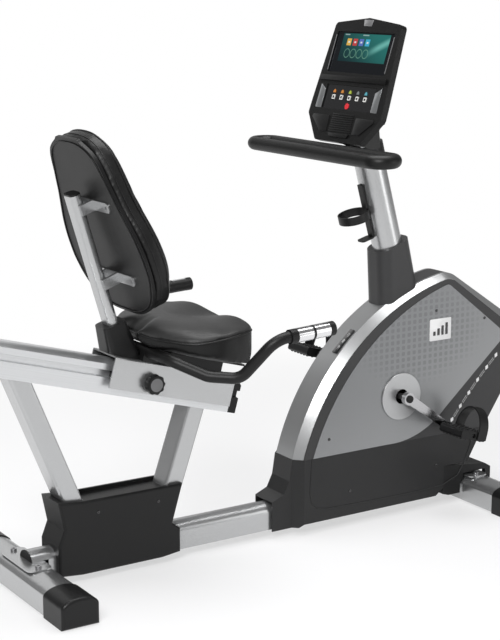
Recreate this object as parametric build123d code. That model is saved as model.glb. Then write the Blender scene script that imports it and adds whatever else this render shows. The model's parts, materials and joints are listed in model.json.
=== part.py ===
from build123d import *
import os
from math import atan2, cos, degrees, hypot, radians, sin, sqrt, tan

os.makedirs("parts", exist_ok=True)

# Frame: +X forward (towards the pedals), +Y the rider's left, +Z up, floor at Z = 0.
# Millimetres. The origin is at the middle of the machine's footprint.

# ---- clearances ----
FIT = 0.3            # between pieces that touch along a face but may move
SEAT = 0.5           # cover round a tube
RUNNING = 0.05       # radial, shaft in bearing
WALL = 3.0           # plastic mouldings
TUBE_WALL = 2.5      # steel tubes

# ---- overall places ----
RAIL_REAR_X = -825.0
NOSE_X = 825.0
CRANK_X, CRANK_Z = 401.0, 337.0
FLYWHEEL_X, FLYWHEEL_Z = 672.0, 372.0

# ---- base ----
BASE_WIDTH, BASE_LOW, BASE_SIDE, BASE_DOME = 64.0, 24.0, 44.0, 26.0
STABILISER_LENGTH, STABILISER_DEPTH = 588.0, 90.0
STABILISER_SIDE, STABILISER_DOME, STABILISER_LOW = 46.0, 20.0, 3.0
CAP_LENGTH, CAP_SKIRT = 100.0, 3.0
REAR_STABILISER_X, FRONT_STABILISER_X = -684.0, 672.0
SADDLE_THICK = 3.0
WHEEL_RADIUS, WHEEL_WIDTH, WHEEL_AXLE_RADIUS = 27.0, 22.0, 4.0

# ---- seat post legs and their cover ----
LEG_WIDTH, LEG_DEPTH, LEG_CORNER = 70.0, 50.0, 8.0
REAR_LEG_LEAN, FRONT_LEG_LEAN = 22.0, -19.2
REAR_LEG_X, FRONT_LEG_X = -525.0, -325.0     # leg centre lines at the top of the base tube
PEDESTAL_HALF_WIDTH, PEDESTAL_TOP, PEDESTAL_LOW = 52.0, 205.0, 26.0

# ---- seat rail ----
RAIL_SLOPE = 15.7
RAIL_FRONT_X, RAIL_FRONT_Z = -135.0, 366.0   # lower front edge of the extrusion
RAIL_WIDTH, RAIL_HEIGHT = 78.0, 86.0
RAIL_GROOVE_LOW, RAIL_GROOVE_HIGH, RAIL_GROOVE_DEPTH = 40.0, 58.0, 12.0
RAIL_CAP, RAIL_REAR_CAP = 26.0, 18.0
SEAT_TRAVEL = 330.0

# ---- seat ----
CARRIAGE_LENGTH, CARRIAGE_DROP, CARRIAGE_SHEET = 352.0, 78.0, 4.0
CARRIAGE_GAP, CARRIAGE_SIDE_GAP = 6.0, 17.0  # over the rail's crown, and beside the rail for the glides
CARRIAGE_HALF_WIDTH = RAIL_WIDTH / 2 + CARRIAGE_SIDE_GAP + CARRIAGE_SHEET
CARRIAGE_FRONT = 12.0                        # back from the rail's front end, along the slope
CUSHION_REAR_X, CUSHION_FRONT_X, CUSHION_WIDTH, CUSHION_THICK = -407.0, -114.0, 426.0, 56.0
SEAT_GAP, SEAT_PLATE = 36.0, 5.0             # carriage to seat plate, and the plate
SEAT_NOTCH = 28.0                            # depth of the cushion's notch for the boot
SEAT_DIP, SEAT_LIP = 14.0, 20.0              # the middle and the front edge, below the rear of the cushion
POST_WIDTH, POST_DEPTH, POST_LEAN, POST_TOP = 50.0, 28.0, 16.5, 946.0
POST_BASE_X = -419.0
BOOT_HALF_WIDTH, BOOT_DEPTH, BOOT_HEIGHT = 38.0, 80.0, 86.0
BACK_HEIGHT, BACK_HALF_WIDTH, BACK_THICK, BACK_TAPER = 457.0, 197.0, 60.0, 22.0
BACK_LOW_X, BACK_LOW_Z, BACK_LEAN = -390.0, 654.0, 19.6
BOARD_THICK = 8.0
HANDLE_RADIUS, GRIP_RADIUS, GRIP_LENGTH = 14.0, 17.5, 122.0
GRIP_Y, GRIP_TIP_X, GRIP_TIP_Z, GRIP_RISE = 335.0, -25.0, 626.0, 3.0
KNOB_RADIUS, KNOB_THICK = 24.0, 24.0

# ---- housing ----
SPINE_LOW_HALF, SPINE_HIGH_HALF = 38.0, 30.0
SPLIT_Z, HOUSING_LOW = 207.0, 30.0
RIM_WIDTH, PANEL_DEPTH = 28.0, 3.0
SPINE_PROUD, TOP_PROUD, FRONT_PROUD = 20.0, 9.0, 26.0
MAST_LEAN = 15.75
MAST_X, MAST_Z = 393.0, 753.0                # a point on the mast's axis
MAST_RADIUS, MAST_WALL = 40.5, 3.0
LOWER_MAST_RADIUS = MAST_RADIUS - MAST_WALL - SEAT
MAST_FOOT, MAST_JOIN, MAST_TOP = 96.0, 700.0, 1092.0
COLLAR_TOP, COLLAR_LOW = 775.0, 540.0
COLLAR_REAR_RISE, COLLAR_FRONT_RISE = 729.0, 768.0      # its slanted rim

# ---- drive ----
CRANK_LENGTH, CRANK_ARM_THICK = 170.0, 14.0
CRANK_ANGLE = -35.5                          # near arm, forward and down
AXLE_RADIUS, BEARING_RADIUS, BEARING_WIDTH = 8.5, 17.5, 12.0
SHELL_RADIUS, SHELL_HALF = 22.0, 34.0
PULLEY_RADIUS, SMALL_PULLEY_RADIUS, BELT_THICK = 112.0, 20.0, 3.0
PULLEY_WIDTH = 12.0
PULLEY_Y = LOWER_MAST_RADIUS + PULLEY_WIDTH / 2 + 3      # clear of the lower mast
HOUSING_HALF_WIDTH = PULLEY_Y + PULLEY_WIDTH / 2 + 12
CRANK_Y = HOUSING_HALF_WIDTH + 34
FLYWHEEL_RADIUS, FLYWHEEL_HALF = 110.0, 17.0
FLYWHEEL_AXLE_RADIUS = 6.0
FORK_PLATE, FORK_Y = 5.0, 26.0
PEDAL_Y = CRANK_Y + 66
PEDAL_LENGTH, PEDAL_WIDTH, PEDAL_THICK = 92.0, 88.0, 24.0
PEDAL_SPINDLE_RADIUS, PEDAL_BOSS_RADIUS = 6.0, 9.5
STRAP_WIDTH, STRAP_THICK, STRAP_RISE, STRAP_FORWARD = 30.0, 4.0, 58.0, 27.0
DISC_RADIUS, DISC_THICK = 65.0, 5.0

# ---- console and handlebar ----
CONSOLE_X, CONSOLE_Z, CONSOLE_TILT = 224.0, 1027.0, 18.2
CONSOLE_HEIGHT, CONSOLE_BEZEL, CONSOLE_BACK = 331.0, 18.0, 34.0
CONSOLE_FOOT_HALF, CONSOLE_WIDE_HALF, CONSOLE_TOP_HALF = 98.0, 158.0, 140.0
SCREEN_HALF, SCREEN_LOW, SCREEN_HIGH = 122.0, 184.0, 292.0
KEYPAD_HALF, KEYPAD_LOW, KEYPAD_HIGH = 106.0, 86.0, 150.0
KEY_PITCH, KEY_SIZE, KEY_V, KEY_TRAVEL = 34.0, 12.0, 112.0, 1.2
BAR_RADIUS, BAR_DEPTH, BAR_HALF_LENGTH = 18.0, 66.0, 288.0
BAR_X, BAR_Z = 143.0, 1006.0


# ---------------------------------------------------------------- helpers
def write(name, shape):
    """Write one node, as its solids."""
    solids = shape.solids()
    export_step(Compound(children=list(solids)) if len(solids) > 1 else solids[0], f"parts/{name}.step")


def block(x0, x1, y0, y1, z0, z1):
    return Pos((x0 + x1) / 2, (y0 + y1) / 2, (z0 + z1) / 2) * Box(x1 - x0, y1 - y0, z1 - z0)


def side_slab(outline, y0, y1):
    """Extrude a side-view (X, Z) face from y0 to y1."""
    return extrude(Plane.XZ.offset(-y1) * outline, amount=y1 - y0)


def polygon(points):
    return make_face(Polyline(*points, close=True))


def rod_y(x, z, radius, y0, y1):
    return Pos(x, (y0 + y1) / 2, z) * Rot(90, 0, 0) * Cylinder(radius, y1 - y0)


def both_sides(shape):
    return shape + mirror(shape, Plane.XZ)


def mirrored(shape):
    return mirror(shape, Plane.XZ)


def domed_section(width, side, dome, grow=0.0):
    """Flat bottom, straight sides and an elliptical top, with its bottom edge at local y = 0."""
    half = width / 2 + grow
    sides = Rectangle(2 * half, side + grow, align=(Align.CENTER, Align.MIN))
    top = Pos(0, side) * (Ellipse(half, dome + grow) & Rectangle(2 * half, dome + grow,
                                                               align=(Align.CENTER, Align.MIN)))
    return Pos(0, -grow) * sides + top


def domed_bar_x(x0, x1, low, width, side, dome, grow=0.0):
    """A domed bar along X."""
    section = domed_section(width, side, dome, grow)
    return extrude(Plane((x0, 0, low), x_dir=(0, 1, 0), z_dir=(1, 0, 0)) * section, amount=x1 - x0)


def domed_bar_y(x, y0, y1, low, width, side, dome, grow=0.0):
    """A domed bar along Y."""
    section = domed_section(width, side, dome, grow)
    return extrude(Plane((x, y1, low), x_dir=(1, 0, 0), z_dir=(0, -1, 0)) * section, amount=y1 - y0)


def tube_along(points, radii, radius, wall=None):
    """A round tube along straight runs joined by arcs."""
    path = FilletPolyline(*points, radius=radii)
    start = Plane(path @ 0, z_dir=path % 0)
    outer = sweep(start * Circle(radius), path=path)
    if wall is None:
        return outer
    return outer - sweep(start * Circle(radius - wall), path=path)


def lean_plane(x, z, lean):
    """A plane square to a line that leans back by lean degrees as it rises; local x is +Y."""
    return Plane((x, 0, z), x_dir=(0, 1, 0), z_dir=(-sin(radians(lean)), 0, cos(radians(lean))))


BASE_TOP = BASE_LOW + BASE_SIDE + BASE_DOME
STABILISER_TOP = STABILISER_LOW + STABILISER_SIDE + STABILISER_DOME


# ---------------------------------------------------------------- base
def stabiliser_bar(x, y0, y1, grow=0.0):
    return domed_bar_y(x, y0, y1, STABILISER_LOW, STABILISER_DEPTH, STABILISER_SIDE, STABILISER_DOME, grow)


def stabiliser(x):
    """Steel cross tube; the caps go round its ends."""
    half = STABILISER_LENGTH / 2 - CAP_SKIRT
    outer = stabiliser_bar(x, -half, half)
    return outer - stabiliser_bar(x, -half, half, -TUBE_WALL)


def end_cap(x, sign):
    """Rounded plastic cap round one end of a cross tube, which rests on the floor."""
    end = STABILISER_LENGTH / 2
    outer = stabiliser_bar(x, end - CAP_LENGTH, end, CAP_SKIRT)
    outer = fillet(outer.faces().sort_by(Axis.Y)[-1].edges(), 8)
    cap = outer - stabiliser_bar(x, end - CAP_LENGTH, end - CAP_SKIRT)
    return cap if sign > 0 else mirrored(cap)


BASE_REAR_X = REAR_STABILISER_X + 2.0
BASE_FRONT_X = FRONT_STABILISER_X + STABILISER_DEPTH / 2 - 12.0
SADDLE_LOW = STABILISER_TOP
SADDLE_HALF = 88.0


def base_bar(x0, x1, grow=0.0):
    return domed_bar_x(x0, x1, BASE_LOW, BASE_WIDTH, BASE_SIDE, BASE_DOME, grow)


def stabiliser_notch(x):
    """The room that a cross tube and its saddle plate take out of the base tube."""
    half = STABILISER_DEPTH / 2 + SEAT
    return block(x - half, x + half, -BASE_WIDTH, BASE_WIDTH, 0, STABILISER_TOP + SADDLE_THICK)


def base_tube():
    tube = base_bar(BASE_REAR_X, BASE_FRONT_X) - base_bar(BASE_REAR_X, BASE_FRONT_X, -TUBE_WALL)
    return tube - stabiliser_notch(REAR_STABILISER_X) - stabiliser_notch(FRONT_STABILISER_X)


def tube_plugs():
    """End plugs of the base tube, over the cross tubes."""
    low = STABILISER_TOP + SADDLE_THICK
    inside = block(-900, 900, -BASE_WIDTH, BASE_WIDTH, low + TUBE_WALL, BASE_TOP)
    plugs = []
    for end, way in ((BASE_REAR_X, 1), (BASE_FRONT_X, -1)):
        x0, x1 = sorted((end, end + way * 14))
        plugs.append(base_bar(x0, x1, -TUBE_WALL) & inside)
        x0, x1 = sorted((end, end - way * 3))
        plugs[-1] += base_bar(x0, x1) & block(-900, 900, -BASE_WIDTH, BASE_WIDTH, low, BASE_TOP)
    return plugs[0] + plugs[1]


def saddle_plate(x):
    """Plate between a cross tube and the base tube, bolted through both wings."""
    plate = block(x - 32, x + 32, -SADDLE_HALF, SADDLE_HALF, SADDLE_LOW, SADDLE_LOW + SADDLE_THICK)
    plate = fillet(plate.edges().filter_by(Axis.Z), 18)
    return plate - bolt_holes(x)


BOLT_Y, BOLT_RADIUS, BOLT_HEAD_RADIUS, BOLT_HEAD = 70.0, 4.0, 7.5, 6.0


def bolt_holes(x):
    hole = Pos(x, BOLT_Y, SADDLE_LOW) * Cylinder(BOLT_RADIUS + SEAT, 60)
    return both_sides(hole)


def saddle_bolts():
    """Cap-head bolts that hold the base tube's plates to the cross tubes."""
    bolts = []
    for x in (REAR_STABILISER_X, FRONT_STABILISER_X):
        top = SADDLE_LOW + SADDLE_THICK
        head = Pos(x, BOLT_Y, top + BOLT_HEAD / 2) * Cylinder(BOLT_HEAD_RADIUS, BOLT_HEAD)
        shank = Pos(x, BOLT_Y, top - 6) * Cylinder(BOLT_RADIUS, 12)
        socket = Pos(x, BOLT_Y, top + BOLT_HEAD) * extrude(RegularPolygon(3.5, 6), -4)
        bolts.append(both_sides(head + shank - socket))
    return bolts[0] + bolts[1]


WHEEL_X = FRONT_STABILISER_X + STABILISER_DEPTH / 2 + CAP_SKIRT + WHEEL_RADIUS + 2.0
WHEEL_Z = WHEEL_RADIUS + 2.0
WHEEL_Y = STABILISER_LENGTH / 2 - 40.0


def front_end_cap(sign):
    """End cap with a fork in front that carries a transport wheel."""
    gap = WHEEL_WIDTH / 2 + 1.0
    cheek = side_slab(polygon([
        (FRONT_STABILISER_X + STABILISER_DEPTH / 2, 8), (WHEEL_X + 10, 14), (WHEEL_X + 10, 40),
        (FRONT_STABILISER_X + STABILISER_DEPTH / 2, 60)]), WHEEL_Y + gap, WHEEL_Y + gap + 6)
    cheeks = cheek + Pos(0, -2 * gap - 6, 0) * cheek
    cheeks -= rod_y(WHEEL_X, WHEEL_Z, WHEEL_AXLE_RADIUS, WHEEL_Y - 40, WHEEL_Y + 40)
    cap = end_cap(FRONT_STABILISER_X, 1) + cheeks
    return cap if sign > 0 else mirrored(cap)


def wheel_axles():
    return both_sides(rod_y(WHEEL_X, WHEEL_Z, WHEEL_AXLE_RADIUS, WHEEL_Y - WHEEL_WIDTH / 2 - 7,
                            WHEEL_Y + WHEEL_WIDTH / 2 + 7))


def transport_wheel(sign):
    wheel = rod_y(WHEEL_X, WHEEL_Z, WHEEL_RADIUS, WHEEL_Y - WHEEL_WIDTH / 2, WHEEL_Y + WHEEL_WIDTH / 2)
    wheel = chamfer(wheel.edges().filter_by(GeomType.CIRCLE), 2.5)
    wheel -= rod_y(WHEEL_X, WHEEL_Z, WHEEL_AXLE_RADIUS + RUNNING, WHEEL_Y - 40, WHEEL_Y + 40)
    return wheel if sign > 0 else mirrored(wheel)


# ---------------------------------------------------------------- legs and pedestal cover
def leg_top(foot_x, lean):
    """Where a leg's centre line meets the rail's underside."""
    slope, back = tan(radians(RAIL_SLOPE)), tan(radians(lean))
    rise = (RAIL_FRONT_Z + (RAIL_FRONT_X - foot_x) * slope - BASE_TOP) / (1 - back * slope)
    return foot_x - back * rise, BASE_TOP + rise


def leg(foot_x, lean, grow=0.0):
    """A rectangular tube from the base tube to the rail's underside."""
    top_x, top_z = leg_top(foot_x, lean)
    length = hypot(top_x - foot_x, top_z - BASE_TOP)
    section = RectangleRounded(LEG_WIDTH + 2 * grow, LEG_DEPTH + 2 * grow, LEG_CORNER + grow)
    start = Plane((foot_x, 0, BASE_TOP), x_dir=(0, 1, 0), z_dir=(top_x - foot_x, 0, top_z - BASE_TOP))
    body = extrude(start * section, amount=length + 60) + extrude(start * section, amount=-40)
    if grow == 0.0:
        inner = RectangleRounded(LEG_WIDTH - 2 * TUBE_WALL, LEG_DEPTH - 2 * TUBE_WALL, LEG_CORNER - TUBE_WALL)
        body -= extrude(start * inner, amount=length + 60) + extrude(start * inner, amount=-40)
        body -= base_bar(foot_x - 200, foot_x + 200)
        body -= rail_block(200)
        body &= block(foot_x - 400, foot_x + 400, -90, 90, BASE_LOW + BASE_SIDE, 700)
    return body


def pedestal_outline(grow=0.0):
    """Side view of the cover round the two legs and the base tube."""
    rear, front = REAR_LEG_X, FRONT_LEG_X
    points = [(rear - 92 - grow, PEDESTAL_TOP + 8), (rear - 78 - grow, 142), (rear - 94 - grow, BASE_TOP + 8 + grow),
              (rear - 94 - grow, PEDESTAL_LOW - grow), (rear - 30, PEDESTAL_LOW - 6 - grow),
              (front - 8, PEDESTAL_LOW - 6 - grow), (front + 44, PEDESTAL_LOW - grow),
              (front + 44, 88 + grow), (front + 22 + grow, 106), (front + 52 + grow, PEDESTAL_TOP),
              (rear - 30, PEDESTAL_TOP + 2)]
    return polygon(points)


def pedestal_cover(sign):
    """One moulded half of the cover, open underneath the legs and round the base tube."""
    outer = side_slab(pedestal_outline(), 0, PEDESTAL_HALF_WIDTH)
    vertical_rims = outer.edges().filter_by(Axis.Y, reverse=True).group_by(Axis.Y)[-1]
    outer = fillet(vertical_rims, 7)
    inner = side_slab(pedestal_outline(-WALL), -1, PEDESTAL_HALF_WIDTH - WALL)
    inner &= block(-800, 0, -1, 90, PEDESTAL_LOW, PEDESTAL_TOP - 14)
    cover = outer - inner
    channel = block(REAR_LEG_X - 40, FRONT_LEG_X + 40, -1, 40, PEDESTAL_TOP - 8, PEDESTAL_TOP + 20)
    cover -= channel
    cover -= leg(REAR_LEG_X, REAR_LEG_LEAN, SEAT) + leg(FRONT_LEG_X, FRONT_LEG_LEAN, SEAT)
    cover -= base_bar(-900, 0, SEAT)
    cover -= block(-800, 0, -10, BASE_WIDTH / 2 + SEAT, 0, BASE_LOW + 10)
    body = max(cover.solids(), key=lambda solid: solid.volume)
    return body if sign > 0 else mirrored(body)


# ---------------------------------------------------------------- seat rail
RAIL_PLANE = Plane((RAIL_FRONT_X, 0, RAIL_FRONT_Z), x_dir=(0, 1, 0),
                   z_dir=(cos(radians(RAIL_SLOPE)), 0, -sin(radians(RAIL_SLOPE))))
RAIL_LENGTH = (RAIL_FRONT_X - RAIL_REAR_X) / cos(radians(RAIL_SLOPE)) - RAIL_REAR_CAP


def along_rail(section, start, end):
    """Extrude a rail-plane section between two distances behind the rail's front end."""
    return extrude(RAIL_PLANE.offset(-end) * section, amount=end - start)


def rail_block(room):
    """The rail's bounding bar, grown sideways and upwards, for trimming what meets its underside."""
    return along_rail(Pos(0, room / 2) * Rectangle(RAIL_WIDTH + room, room), -200, RAIL_LENGTH + 200)


def rail_section():
    crown = 26.0
    half = RAIL_WIDTH / 2
    outline = Polyline((-half, 0), (half, 0), (half, RAIL_GROOVE_LOW),
                       (half - RAIL_GROOVE_DEPTH, RAIL_GROOVE_LOW + 2),
                       (half - RAIL_GROOVE_DEPTH, RAIL_GROOVE_HIGH - 2), (half, RAIL_GROOVE_HIGH),
                       (half, RAIL_HEIGHT - crown / 2))
    top = ThreePointArc((half, RAIL_HEIGHT - crown / 2), (0, RAIL_HEIGHT), (-half, RAIL_HEIGHT - crown / 2))
    back = Polyline((-half, RAIL_HEIGHT - crown / 2), (-half, RAIL_GROOVE_HIGH),
                    (-half + RAIL_GROOVE_DEPTH, RAIL_GROOVE_HIGH - 2),
                    (-half + RAIL_GROOVE_DEPTH, RAIL_GROOVE_LOW + 2), (-half, RAIL_GROOVE_LOW), (-half, 0))
    return make_face(outline + top + back)


def seat_rail():
    """Aluminium extrusion with a running groove along each side."""
    half, wall = RAIL_WIDTH / 2, 3.5
    lower = Pos(0, wall + (RAIL_GROOVE_LOW - 2 * wall) / 2) * Rectangle(2 * (half - wall), RAIL_GROOVE_LOW - 2 * wall)
    web = Rectangle(2 * (half - RAIL_GROOVE_DEPTH - wall), RAIL_GROOVE_HIGH - RAIL_GROOVE_LOW + 2 * wall)
    web = Pos(0, (RAIL_GROOVE_HIGH + RAIL_GROOVE_LOW) / 2) * web
    upper_high = RAIL_HEIGHT - 22.0
    upper = Pos(0, (RAIL_GROOVE_HIGH + wall + upper_high) / 2 + 4) * Rectangle(
        2 * (half - wall) - 6, upper_high - RAIL_GROOVE_HIGH - wall + 8)
    return along_rail(rail_section() - (lower + web + upper), 0, RAIL_LENGTH)


def rail_end_caps():
    """Plastic end caps, the front one deeper and rounded."""
    section = rail_section()
    front = along_rail(section, -RAIL_CAP, 0)
    front = fillet(front.faces().sort_by(Axis(RAIL_PLANE.origin, RAIL_PLANE.z_dir))[-1].edges(), 5)
    rear = along_rail(section, RAIL_LENGTH, RAIL_LENGTH + RAIL_REAR_CAP)
    return front + rear


STOP_BOLT = 590.0                            # behind the rail's front end


def rail_stop_bolt():
    """Bolt under the rail, behind the front leg."""
    place = RAIL_PLANE.offset(-STOP_BOLT).origin
    stud = Plane(place, z_dir=-RAIL_PLANE.y_dir)
    return extrude(stud * Circle(6.0), amount=10)


# ---------------------------------------------------------------- seat carriage
CARRIAGE_START = CARRIAGE_FRONT
CARRIAGE_END = CARRIAGE_FRONT + CARRIAGE_LENGTH
CARRIAGE_TOP = RAIL_HEIGHT + CARRIAGE_GAP + CARRIAGE_SHEET


def seat_carriage():
    """Folded steel channel that straddles the rail."""
    low = CARRIAGE_TOP - CARRIAGE_DROP
    outer = Pos(0, (low + CARRIAGE_TOP) / 2) * Rectangle(2 * CARRIAGE_HALF_WIDTH, CARRIAGE_DROP)
    room = Pos(0, low + (CARRIAGE_DROP - CARRIAGE_SHEET) / 2) * Rectangle(
        2 * (CARRIAGE_HALF_WIDTH - CARRIAGE_SHEET), CARRIAGE_DROP - CARRIAGE_SHEET)
    outer = fillet(outer.vertices().group_by(Axis.Y)[-1], 5)
    room = fillet(room.vertices().group_by(Axis.Y)[-1], 1)
    channel = along_rail(outer - room, CARRIAGE_START, CARRIAGE_END)
    knob_place = knob_plane(0).origin
    hole = Plane(knob_place, z_dir=(0, 1, 0))
    return channel - extrude(hole * Circle(6 + FIT), amount=CARRIAGE_HALF_WIDTH)


def glide_blocks():
    """Plastic blocks between the channel and the rail, with a lip that runs in the groove."""
    half, gap = RAIL_WIDTH / 2, FIT
    x0, x1 = half + gap, CARRIAGE_HALF_WIDTH - CARRIAGE_SHEET
    pad = Pos((x0 + x1) / 2, 56) * Rectangle(x1 - x0, 46)
    lip_depth = RAIL_GROOVE_DEPTH - 2
    lip = Pos(x0 - lip_depth / 2 + 0.5, (RAIL_GROOVE_LOW + RAIL_GROOVE_HIGH) / 2) * Rectangle(
        lip_depth + 1, RAIL_GROOVE_HIGH - RAIL_GROOVE_LOW - 6)
    section = pad + lip
    blocks = None
    for start in (CARRIAGE_START + 10, CARRIAGE_END - 70):
        pair = along_rail(section, start, start + 60)
        pair = pair + mirrored(pair)
        blocks = pair if blocks is None else blocks + pair
    return blocks


KNOB_BACK, KNOB_UP = 250.0, 46.0             # behind the rail's front end, above its underside


def knob_plane(offset):
    """Square to the near side of the carriage, offset outwards; local x runs up the rail."""
    origin = RAIL_PLANE.offset(-KNOB_BACK).origin + RAIL_PLANE.y_dir * KNOB_UP
    return Plane((origin.X, -CARRIAGE_HALF_WIDTH - offset, origin.Z), z_dir=(0, -1, 0))


def seat_knob():
    """Clamp knob with a lobed rim, turned by hand to lock the carriage."""
    lobe_count = 8
    body = extrude(knob_plane(FIT) * Circle(KNOB_RADIUS - 3.0), amount=KNOB_THICK)
    lobes = [Pos((KNOB_RADIUS - 5.5) * cos(radians(a)), (KNOB_RADIUS - 5.5) * sin(radians(a))) * Circle(5.5)
             for a in range(0, 360, 360 // lobe_count)]
    body += [extrude(knob_plane(FIT + 5) * lobe, amount=KNOB_THICK - 8) for lobe in lobes]
    return body + extrude(knob_plane(FIT) * Circle(6), amount=-14)


# ---------------------------------------------------------------- seat, back rest and handles
def carriage_top_z(x):
    """Height of the carriage's top face over a place on the rail's slope."""
    slope = tan(radians(RAIL_SLOPE))
    return RAIL_FRONT_Z + (RAIL_FRONT_X - x) * slope + CARRIAGE_TOP / cos(radians(RAIL_SLOPE))


PLATE_LOW = CARRIAGE_TOP + SEAT_GAP
CUSHION_LOW = PLATE_LOW + SEAT_PLATE + FIT    # above the rail's underside, square to it
HANDLE_CROSS_X, HANDLE_CROSS_UP = -368.0, PLATE_LOW - HANDLE_RADIUS + 2.0


def above_rail(x, up):
    """Height of a point over the rail, from its X and its distance above the rail's underside."""
    return RAIL_FRONT_Z + (RAIL_FRONT_X - x) * tan(radians(RAIL_SLOPE)) + up / cos(radians(RAIL_SLOPE))


def behind_front(x, up):
    """Distance along the rail, behind its front end, of a point given by its X and its distance above."""
    return (RAIL_FRONT_X - x) / cos(radians(RAIL_SLOPE)) + up * tan(radians(RAIL_SLOPE))


HANDLE_CROSS_Z = above_rail(HANDLE_CROSS_X, HANDLE_CROSS_UP)


def seat_frame():
    """Steel seat plate on two upright webs, with two saddles for the handle tube behind them."""
    cross = behind_front(HANDLE_CROSS_X, HANDLE_CROSS_UP)
    rear = cross - HANDLE_RADIUS - 6
    plate = along_rail(Pos(0, PLATE_LOW + SEAT_PLATE / 2) * Rectangle(250, SEAT_PLATE), 40, rear)
    web = along_rail(Pos(42, CARRIAGE_TOP + SEAT_GAP / 2) * Rectangle(5, SEAT_GAP), 50, rear - 10)
    saddle_up = HANDLE_CROSS_UP - CARRIAGE_TOP
    saddle = along_rail(Pos(49.5, CARRIAGE_TOP + saddle_up / 2) * Rectangle(20, saddle_up), rear - 10, cross + 14)
    saddle -= rod_y(HANDLE_CROSS_X, HANDLE_CROSS_Z, HANDLE_RADIUS, 0, 100)
    return plate + web + mirrored(web) + saddle + mirrored(saddle)


GRIP_HEEL = GRIP_LENGTH + 36.0


def handle_points():
    """Centre line of one handle from the middle of the seat out to the grip, near side."""
    rise = radians(GRIP_RISE)
    tip = (GRIP_TIP_X, -GRIP_Y, GRIP_TIP_Z)
    heel = (GRIP_TIP_X - GRIP_HEEL * cos(rise), -GRIP_Y, GRIP_TIP_Z - GRIP_HEEL * sin(rise))
    return [(HANDLE_CROSS_X, 0, HANDLE_CROSS_Z), (HANDLE_CROSS_X, -160, HANDLE_CROSS_Z),
            (-304, -226, 522), (-246, -278, 520), heel, tip]


def handle_tubes():
    near = tube_along(handle_points(), [50, 60, 45, 60], HANDLE_RADIUS)
    return near + mirrored(near)


def grip_plane(back):
    """Square to the near grip, at a distance behind its tip."""
    rise = radians(GRIP_RISE)
    way = Vector(cos(rise), 0, sin(rise))
    return Plane(Vector(GRIP_TIP_X, -GRIP_Y, GRIP_TIP_Z) - way * back, x_dir=(0, 1, 0), z_dir=way)


def ring(plane, outer, inner, start, end):
    return extrude(plane.offset(start) * (Circle(outer) - Circle(inner)), amount=end - start)


SENSOR_LENGTH, SENSOR_GAP, SENSOR_START = 42.0, 7.0, 12.0


def handle_grips():
    """Moulded sleeves over the tube ends, recessed for the sensor plates."""
    heel = grip_plane(GRIP_LENGTH)
    sleeve = ring(heel, GRIP_RADIUS, HANDLE_RADIUS, 0, GRIP_LENGTH) + extrude(
        grip_plane(0) * Circle(GRIP_RADIUS), amount=4)
    for plate in sensor_rooms():
        sleeve -= plate
    return sleeve + mirrored(sleeve)


def sensor_rooms():
    """Two outer half-rings near each grip's tip."""
    rooms = []
    for back in (SENSOR_START + SENSOR_LENGTH, SENSOR_START + 2 * SENSOR_LENGTH + SENSOR_GAP):
        room = ring(grip_plane(back), GRIP_RADIUS, GRIP_RADIUS - 1.5, 0, SENSOR_LENGTH)
        rooms.append(room & block(-400, 200, -GRIP_Y - 60, -GRIP_Y + 8, 400, 800))
    return rooms


def pulse_sensors():
    plates = sensor_rooms()
    near = plates[0] + plates[1]
    return near + mirrored(near)


SEAT_PLAN = ((0.0, 0.30), (0.10, 0.53), (0.23, 0.80), (0.36, 0.94), (0.53, 1.0), (0.70, 0.967), (0.84, 0.87),
             (0.945, 0.66), (0.986, 0.38), (1.0, 0.0))       # shares of the cushion's length and half width


def seat_cushion():
    """Plain stand-in for the upholstered seat: rounded plan, raised at the rear, a dip, then a low rise."""
    x0, x1, half = CUSHION_REAR_X, CUSHION_FRONT_X, CUSHION_WIDTH / 2
    edge = Spline(*[(x0 + along * (x1 - x0), across * half) for along, across in SEAT_PLAN],
                  tangents=((0, 1), (0, -1)))
    plan = make_face(edge + mirror(edge, Plane.XZ) + Line((x0, -SEAT_PLAN[0][1] * half), (x0, SEAT_PLAN[0][1] * half)))
    rear, front = above_rail(x0, CUSHION_LOW), above_rail(x1, CUSHION_LOW)
    hump = rear + CUSHION_THICK - 6
    dip, lip = hump - SEAT_DIP, hump - SEAT_LIP
    low = [(x0 - 5, above_rail(x0 - 5, CUSHION_LOW)), (x1 + 5, above_rail(x1 + 5, CUSHION_LOW))]
    crown = make_face(Polyline((x0 - 5, hump - 14), *low, (x1 + 5, lip - 22)) +
                      ThreePointArc((x1 + 5, lip - 22), (x1 - 25, lip), (x1 - 70, lip + 2)) +
                      Line((x1 - 70, lip + 2), (x0 + 120, dip + 4)) +
                      ThreePointArc((x0 + 120, dip + 4), (x0 + 50, hump), (x0 - 5, hump - 14)))
    pad = extrude(Plane((0, 0, front - 40)) * plan, amount=300)
    pad -= block(x0 - 10, x0 + SEAT_NOTCH, -BOOT_HALF_WIDTH - 3, BOOT_HALF_WIDTH + 3, 0, 1000)
    return pad & side_slab(crown, -half - 5, half + 5)


POST_PLANE = lean_plane(POST_BASE_X, carriage_top_z(POST_BASE_X), POST_LEAN)


def backrest_post():
    """Rounded rectangular tube that carries the back pad."""
    length = (POST_TOP - POST_PLANE.origin.Z) / cos(radians(POST_LEAN))
    section = RectangleRounded(POST_WIDTH, POST_DEPTH, 12)
    post = extrude(POST_PLANE * section, amount=length) + extrude(POST_PLANE * section, amount=-20)
    inner = RectangleRounded(POST_WIDTH - 5, POST_DEPTH - 5, 9.5)
    post -= extrude(POST_PLANE.offset(6) * inner, amount=length)
    return post - along_rail(Pos(0, CARRIAGE_TOP - 100) * Rectangle(200, 200), 0, RAIL_LENGTH + 100)


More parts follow.
